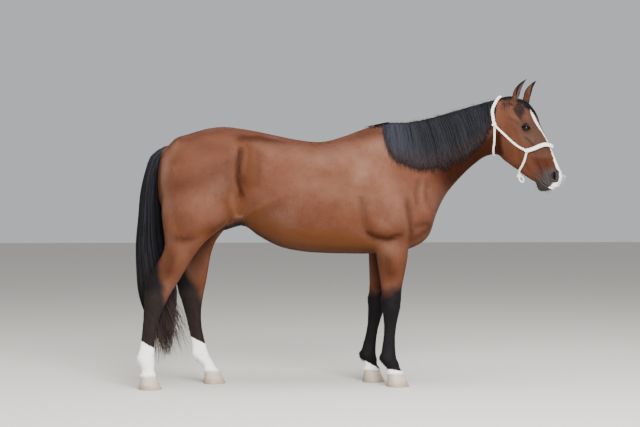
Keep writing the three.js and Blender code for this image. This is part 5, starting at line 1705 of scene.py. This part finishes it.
# Lashes stand out of the upper lid from its front two thirds, bending down at their ends.
def makeLashes(side, count=90):
    centre, out, along, up = eyeAxes(side)
    radius, half = eyeSizes["radius"] + 0.6 * eyeSizes["lid"], eyeSizes["halfLength"]
    x = chance.uniform(-13, 20, count)
    y = eyeSizes["upper"] * (1 - (x / half) ** 2) ** 0.625 + 0.1 * x + 0.8
    depth = np.sqrt(np.clip(radius ** 2 - x ** 2 - y ** 2, 1, None))
    root = centre + x[:, None] * along + y[:, None] * up + depth[:, None] * out
    t = np.linspace(0, 1, 5)[:, None]
    size = chance.uniform(9, 17, (count, 1, 1))
    lean = along * (chance.normal(0, 0.18, (count, 1, 1)) + x[:, None, None] / 60) + out * 0.8 + up * 0.25
    path = fromHead(root[:, None] + size * (lean * t - 0.75 * up * t ** 2))
    taper = np.array([1, 0.9, 0.75, 0.5, 0.15])
    hairs = strandMesh(path, np.array([0.0, 0.0, 1.0]), chance.uniform(0.35, 0.55, count), 0.35, taper, 3)
    strandPiece("lashes_" + ("left" if side > 0 else "right"), [hairs], [path[:, 0]])


ropeSizes = {
    "crownRadius": 9.2, "cheekRadius": 6.6, "nosebandRadius": 13.0, "pitch": 5.6, "ringEvery": 2.6,
    "windingEvery": 6.4,
}


# A rope's middle line in even steps: its points, how long it is, and its direction at each.
def ropeLine(points, every, spare=0):
    length = np.linalg.norm(np.diff(points, axis=0), axis=1).sum()
    path, length = smoothPath(points, int(length / every) + spare)
    return path, length, unit(np.gradient(path, axis=0))


# A laid rope: three strands wound round the middle line, each at 0.5 of the radius from it and 0.54 thick,
# going once round in pitch radii. The winding angle is the distance run divided by the pitch.
def laidRope(points, radius):
    path, length, tangent = ropeLine(points, ropeSizes["ringEvery"], 8)
    steep = abs(tangent[:, 2]).mean() >= 0.8
    first = unit(np.cross(tangent, [0.93, 0.31, 0.17] if steep else [0.31, 0.17, 0.93]))
    second = np.cross(tangent, first)
    angle = np.linspace(0, length / (ropeSizes["pitch"] * radius), len(path)) * 2 * math.pi
    strands = []
    for k in (0, 2 * math.pi / 3, 4 * math.pi / 3):
        outward = np.cos(angle + k)[:, None] * first + np.sin(angle + k)[:, None] * second
        strands.append(path + radius * 0.5 * outward)
    strands = np.stack(strands)
    taper = np.ones(len(path))
    taper[[0, -1]] = 0.6
    return strandMesh(strands, np.broadcast_to(first, strands.shape), radius * 0.54, radius * 0.54, taper, 9)


# A wound band: one thick core whose radius rises and falls once for each turn of the cord wound round it.
def woundRope(points, radius, flat, outward):
    path, length, _ = ropeLine(points, 1.1)
    share = np.linspace(0, 1, len(path))
    lifts = np.stack([np.interp(share, np.linspace(0, 1, len(outward)), outward[:, k]) for k in range(3)], -1)
    turns = length / ropeSizes["windingEvery"]
    wave = 1 + 0.055 * np.abs(np.sin(np.linspace(0, turns * math.pi, len(path)))) ** 0.7
    wave *= np.interp(share, [0, 0.03, 0.97, 1], [0.5, 1, 1, 0.5])
    return strandMesh(path[None], lifts[None], radius, radius * flat, wave, 20)


# An overhand knot: the curve (sin t + 2 sin 2t, cos t - 2 cos 2t, -1.1 sin 3t), drawn small and laid flat.
def ropeKnot(centre, size, radius, outward, turn=0.0):
    t = np.linspace(0, 2 * math.pi, 90)
    curve = [np.sin(t) + 2 * np.sin(2 * t), np.cos(t) - 2 * np.cos(2 * t), -1.1 * np.sin(3 * t)]
    flat = np.stack(curve, -1) * size / 3
    out = unit(outward)
    side = unit(np.cross([0, 0, 1.0], out))
    up = np.cross(out, side)
    c, s = math.cos(turn), math.sin(turn)
    path = centre + (flat[:, :1] * c - flat[:, 1:2] * s) * side + (flat[:, :1] * s + flat[:, 1:2] * c) * up
    path = path + flat[:, 2:] * out
    return strandMesh(path[None], np.broadcast_to(out, path[None].shape), radius, radius, np.ones(90), 10)


# Cotton rope: dull white yarn of fibres about 0.3 mm thick, drawn as 1.2 mm so that they show, greyed by use.
def ropeMaterial():
    material, tree, shader, place = startMaterial("white cotton rope")
    yarn = patchNoise(tree, place, 1.4, 3.0, (1, 1, 0.5))
    soil = patchNoise(tree, place, 30.0, 3.0)
    soiled = addNode(tree, "Math", {**shareOf, 0: soil, 1: 1.5, 2: 0.35})
    fibres = addNode(tree, "Math", {**shareOf, 0: yarn, 1: 1.0, 2: 0.2})
    colour = laidOver(tree, "#F1EDE6", [(soiled, "#CFC8BC"), (fibres, "#BDB4A6")])
    bump = addNode(tree, "Bump", {"Height": yarn, "Strength": 0.6, "Distance": 0.001})
    setNode(tree, shader, {"Base Color": colour, "Roughness": 0.9, "Sheen Weight": 0.3, "Normal": bump})
    return material


cottonRope = ropeMaterial()
crownLine = [[-38, 1556], [-47, 1600], [-54, 1645], [-44, 1685], [-26, 1740]]
nosebandLine = [[162, 1396], [205, 1410], [240, 1426], [262, 1433], [300, 1448]]
throatLine = [[-36, 1550], [-38, 1500], [-44, 1450], [-60, 1400], [-70, 1370]]
chinLine = [[160, 1388], [142, 1340], [120, 1306], [96, 1280], [80, 1240]]
cheekLine = [[-34, 1552], [6, 1514], [44, 1480], [84, 1444], [122, 1416], [154, 1400]]


# A line up the right of the head form to its last point and back down the left, lifted by a radius.
def roundHead(line, radius):
    right, left = onHeadForm(line, -1, radius), onHeadForm(line[:-1], 1, radius)
    return fromHead(np.vstack([right, left[::-1]]))


# The parts of one halter piece joined, in place of the solid of that name.
def halterPiece(name, parts):
    corners, loops, sizes = joined([part[:3] for part in parts])
    piece = makeMesh(name + "_rope", corners, loops, sizes, cottonRope)
    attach(piece, "root")
    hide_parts(name)


# The halter: laid ropes and a wound noseband along lines on the head form, a knot at each end of the
# crown and the noseband, and one under the chin with a short tail.
def makeHalter():
    sizes = ropeSizes

    def away(side):  # out of the head on one side
        return turned(np.array([[-0.1, float(side), 0.1]]), headTurn)[0]

    ends = {key: [fromHead(onHeadForm([line[0]], side, 9))[0] for side in (-1, 1)]
            for key, line in (("crown", crownLine), ("noseband", nosebandLine))}
    knots = {key: [ropeKnot(spot, 9.5, 5.2, away(side), 0.4) for spot, side in zip(spots, (-1, 1))]
             for key, spots in ends.items()}
    crown = roundHead(crownLine, sizes["crownRadius"] * 0.85)
    halterPiece("halter_crown", [laidRope(crown, sizes["crownRadius"]), *knots["crown"]])
    band = roundHead(nosebandLine, sizes["nosebandRadius"] * 0.66)
    off = band - (fromHead(np.array([[150.0, 0, 1330]]))[0])
    halterPiece("halter_noseband", [woundRope(band, sizes["nosebandRadius"], 0.62, off), *knots["noseband"]])
    thin = sizes["cheekRadius"]
    halterPiece("halter_throat", [laidRope(roundHead(throatLine, thin), thin)])
    for side, word in ((1, "left"), (-1, "right")):
        path = fromHead(onHeadForm(cheekLine, side, thin * 0.9))
        halterPiece("halter_cheek_" + word, [laidRope(path, thin)])
    chin = roundHead(chinLine, thin)
    low = fromHead(onHeadForm([chinLine[-1]], 1, 15))[0]
    low[2] -= 4
    chin[len(chinLine) - 1] = low + [0, 0, 9]
    tails = [low + turned(np.array([[dx, dy, dz]]), headTurn)[0] for dx, dy, dz in
             ((0, 0, 0), (3, -9, -16), (12, -12, -34), (22, -4, -40), (26, 8, -28), (16, 10, -8), (2, 2, 0))]
    halterPiece("halter_chin", [laidRope(chin, thin), ropeKnot(low, 11, 5.4, away(-1), 0.9),
                                laidRope(np.array(tails), 5.0)])


print("forelock, hooves, eyes and halter")
makeForelock()
for name, joints in legJoints.items():
    makeHoof(name.replace("leg", "_hoof") + "_horn", joints[-1])
for side in (1, -1):
    makeEye(side)
    makeLashes(side)
makeHalter()


# The coat is short flat hair on the skin's faces, left out where they are bare or under the mane.
skinMesh = skin.data
skinMesh.calc_loop_triangles()
skinFaces = readOff(skinMesh.loop_triangles, "vertices", 3, np.int32)
skinCorners, skinNormals = cornersOf(skinMesh), normalsOf(skinMesh)
faceCorners = skinCorners[skinFaces]
faceMiddles = faceCorners.mean(1)
faceNormals = np.cross(faceCorners[:, 1] - faceCorners[:, 0], faceCorners[:, 2] - faceCorners[:, 0])
faceAreas = np.linalg.norm(faceNormals, axis=1) / 2
faceNormals /= np.maximum(2 * faceAreas, 1e-9)[:, None]
faceMarks = markings(faceMiddles)
faceLocal = toHead(faceMiddles)
faceLeg = np.full((len(faceMiddles), 2), [9.0, 0.0])
for near, forward, outward, z in onLegs(faceMiddles).values():
    faceLeg[near] = np.stack([forward, outward], -1)
bare = (faceMarks["eye"] > 4) | (faceMarks["nostril"] > -2) | (faceMiddles[:, 2] < hoofHeight + 2)
mouth = toLine(faceLocal[:, [0, 2]], mouthLine)[0]
onFace = (faceLocal[:, 0] > -30) & (faceLocal[:, 2] > 1130) & (faceMiddles[:, 0] > 850)
bare |= onFace & (mouth < 9)
underMane = (faceMiddles[:, 1] < 10) & (faceMiddles[:, 0] > 205) & (faceMiddles[:, 0] < 880)
underMane &= faceMiddles[:, 2] > np.interp(faceMiddles[:, 0], *np.array(maneSizes["lower"]).T) + 35


# The way the hair lies: back and down on the body, down the legs, down the face towards the muzzle and up
# the ears, laid into the surface.
def flowAt(points, normals):
    x, _, z = points.T
    local = toHead(points)
    low = ease(-z, -900, -740)[:, None]
    flow = np.array([-0.86, 0, -0.5]) * (1 - low) + np.array([-0.12, 0, -1.0]) * low
    head = ease(local[:, 0], -50, -10) * (z > 1100) * (x > 820)
    down = turned(np.array([[0.45, 0, -0.9]]), headTurn)[0]
    flow = flow * (1 - head)[:, None] + down * head[:, None]
    for side in ("left", "right"):
        rise, wide, deep, width, depth, _ = inEar(local, side)
        own = (rise > 0.03) & (np.hypot(wide / width, deep / depth) < 1.5)
        flow[own] = turned(unit(earFrame(side)[1]), headTurn)
    return unit(flow - (flow * normals).sum(1, keepdims=True) * normals)


# Places on the skin: faces drawn by area times density, then a place inside each face.
def scatter(density, count):
    share = faceAreas * density * ~bare
    chosen = chance.choice(len(share), count, p=share / share.sum())
    u, v = chance.random((2, count))
    u, v = np.where(u + v > 1, 1 - u, u), np.where(u + v > 1, 1 - v, v)
    weights = np.stack([1 - u - v, u, v], -1)[..., None]
    points = (skinCorners[skinFaces[chosen]] * weights).sum(1)
    return points, unit((skinNormals[skinFaces[chosen]] * weights).sum(1))


# A tuft is a flat tetrahedron lying along the flow: two root corners across it, a ridge a third of the way
# along it, and a tip that stands off the skin by the lift.
def tuftPart(points, normals, length, width, lift, stray=0.12):
    flow = flowAt(points, normals) + chance.normal(0, stray, points.shape)
    flow = unit(flow - (flow * normals).sum(1, keepdims=True) * normals)
    side = np.cross(normals, flow)
    count = len(points)
    size = chance.uniform(*length, count)[:, None]
    half = chance.uniform(*width, count)[:, None] / 2
    high = lift * chance.uniform(0.6, 1.3, (count, 1))
    base = points - 0.2 * normals
    ridge = base + 0.35 * size * flow + (0.25 * high + 0.42) * normals
    tip = base + size * flow + (high + 0.2) * normals
    tuft = np.stack([base - half * side, base + half * side, ridge, tip], 1)
    faces = np.array([0, 2, 1, 0, 1, 3, 1, 2, 3, 0, 3, 2])
    loops = (np.arange(count)[:, None] * 4 + faces).ravel()
    along = np.tile([0, 0, 0.35, 1], count)
    return tuft.reshape(-1, 3), loops, np.full(4 * count, 3), along, np.repeat(np.arange(count), 4)


# Longer hair standing away from an edge: a bent strand of three parts from the skin along the flow.
def fringePart(points, normals, length, width, rise, sag=0.0, stray=0.25):
    flow = unit(flowAt(points, normals) + chance.normal(0, stray, points.shape))
    count = len(points)
    size = chance.uniform(*length, count)[:, None, None]
    t = np.linspace(0, 1, 4)[:, None]
    path = points[:, None] - 0.6 * normals[:, None] + size * (
        flow[:, None] * (t - 0.15 * rise * t ** 2) + normals[:, None] * rise * t ** 0.8
        + np.array([0, 0, -1.0]) * sag * t ** 2)
    taper = np.array([1, 0.9, 0.6, 0.12])
    return strandMesh(path, normals[:, None] + 0 * path, chance.uniform(*width, count), 0.6, taper, 3)


tuftCoat = coatMaterial("bay summer coat tufts", False)


# A coat piece from groups of tufts or fringe: which kind, where on the skin, how many and their sizes.
def coatPiece(name, groups):
    parts, roots, rootNormals = [], [], []
    for kind, where, count, *sizes in groups:
        points, normals = scatter(where.astype(float), count)
        parts.append(kind(points, normals, *sizes))
        roots.append(points)
        rootNormals.append(normals)
    strandPiece(name, parts, roots, None, tuftCoat, rootNormals, groups[0][0] is tuftPart)


# The coat: tufts over body, legs and head, sown by the share that each face has in a group, and fringe
# hair where a horse's grows longer.
def makeCoat():
    x, y, z = faceMiddles.T
    down = -faceNormals[:, 2]
    forward = faceLeg[:, 0]
    legs = z < 860
    body = ~legs & ~onFace & ~underMane
    for name, side in (("coat_right", y < 0), ("coat_left", y >= 0)):
        coatPiece(name, [(tuftPart, body & side, 33000, [9, 15], [1.6, 2.8], 0.45)])
    coatPiece("coat_legs", [(tuftPart, legs, 38000, [6, 10], [1.2, 2.0], 0.4)])
    ears = (faceMarks["inner"] > 0.3) | (faceMarks["ear"] > -40)
    outerEars = onFace & ears & (faceMarks["inner"] < 0.3)
    coatPiece("coat_head", [(tuftPart, onFace & ~ears, 26000, [4, 7], [0.9, 1.5], 0.3),
                            (tuftPart, outerEars, 6000, [4, 7], [0.9, 1.4], 0.6)])
    back = ease(-forward, 0.35, 0.85) * legs
    fetlock = back * ease(z, 92, 118) * ease(-z, -205, -165)
    coronet = legs * ease(-z, -96, -80)
    tendon = back * ease(z, 200, 240) * ease(-z, -640, -560)
    belly = ease(down, 0.8, 1.0) * (z > 850) * (np.abs(y) < 70)
    elbow = bell((x - 120) / 70, (z - 880) / 40)
    dock = bell((x + 1112) / 24, (z - 1412) / 20, y / 40)
    coatPiece("coat_fringe", [
        (fringePart, fetlock, 1500, [8, 17], [0.7, 1.2], 0.22, 0.15),
        (fringePart, coronet, 2600, [7, 13], [0.7, 1.2], 0.16, 0.1),
        (fringePart, tendon, 1600, [7, 12], [0.7, 1.2], 0.16),
        (fringePart, belly, 2200, [8, 14], [0.6, 1.1], 0.12),
        (fringePart, elbow * body, 300, [7, 13], [0.6, 1.0], 0.1),
        (fringePart, dock, 500, [14, 30], [0.7, 1.2], 0.08, 0.0, 0.1),
    ])
    a, _, h = faceLocal.T
    jaw = onFace & (down > 0.35) & (h < 1400)
    chin = onFace & (a > 190) & (h < 1215) & (down > 0.1)
    muzzle = onFace & (a > 240) & (h < 1265)
    rims = onFace & (faceMarks["ear"] > 0) & (faceMarks["inner"] < 0.5)
    inner = onFace & (faceMarks["inner"] > 0.75) & (faceMarks["ear"] < -24)
    coatPiece("coat_head_fringe", [
        (fringePart, jaw, 1100, [5, 9], [0.4, 0.7], 0.1, 0.0, 0.12),
        (fringePart, chin, 200, [4, 13], [0.35, 0.6], 0.8, 0.1),
        (fringePart, muzzle, 45, [8, 22], [0.28, 0.42], 1.6, 0.1),
        (fringePart, rims, 1300, [3, 6.5], [0.6, 1.0], 0.3),
        (fringePart, inner, 2400, [7, 14], [0.6, 1.1], 0.5),
    ])


print("coat")
makeCoat()


# Stage, light and camera.
stageSizes = {"floorHalf": 40.0, "camera": [-820.3, -8174.7, 1026.0], "turn": 4.5, "lens": 76.875}


# A floor, two area lamps turned towards their aim, a pale world and a level camera.
def makeStage():
    half = stageSizes["floorHalf"] * 1000
    corners = half * np.array([[-1, -1, 0], [1, -1, 0], [1, 1, 0], [-1, 1, 0]]) - shift * [0, 0, 1]
    material, tree, shader, _ = startMaterial("pale floor")
    setNode(tree, shader, {"Base Color": "#CFCBC3", "Roughness": 0.9})
    makeMesh("floor", corners, np.arange(4), np.array([4]), material)
    world = bpy.data.worlds.new("studio")
    bpy.context.scene.world = world
    world.use_nodes = True
    setNode(world.node_tree, world.node_tree.nodes["Background"], {"Color": "#E9EBEE", "Strength": 0.65})
    for name, place, aim, size, power in [
        ("overhead", [-0.2, -1.6, 6.0], [0, 0, 1.0], 5.0, 460),
        ("key", [1.0, -6.8, 3.9], [0, 0, 1.0], 4.0, 1380),
    ]:
        light = bpy.data.lights.new(name, "AREA")
        light.energy, light.size = power, size
        lamp = bpy.data.objects.new(name, light)
        lamp.location = place
        away = np.array(place) - np.array(aim)
        tilt = math.acos(away[2] / np.linalg.norm(away))
        lamp.rotation_euler = (tilt, 0, math.atan2(away[1], away[0]) + math.pi / 2)
        bpy.context.scene.collection.objects.link(lamp)
    data = bpy.data.cameras.new("camera")
    data.lens, data.sensor_width = stageSizes["lens"], 36
    camera = bpy.data.objects.new("camera", data)
    camera.location = (np.array(stageSizes["camera"]) + shift) / 1000
    camera.rotation_euler = (math.pi / 2, 0, math.radians(-stageSizes["turn"]))
    bpy.context.scene.collection.objects.link(camera)
    bpy.context.scene.camera = camera


makeStage()
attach(skin, "root")
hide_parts("trunk", "neck", "head", "ear_left", "ear_right", "foreleg_left", "foreleg_right",
            "hindleg_left", "hindleg_right")
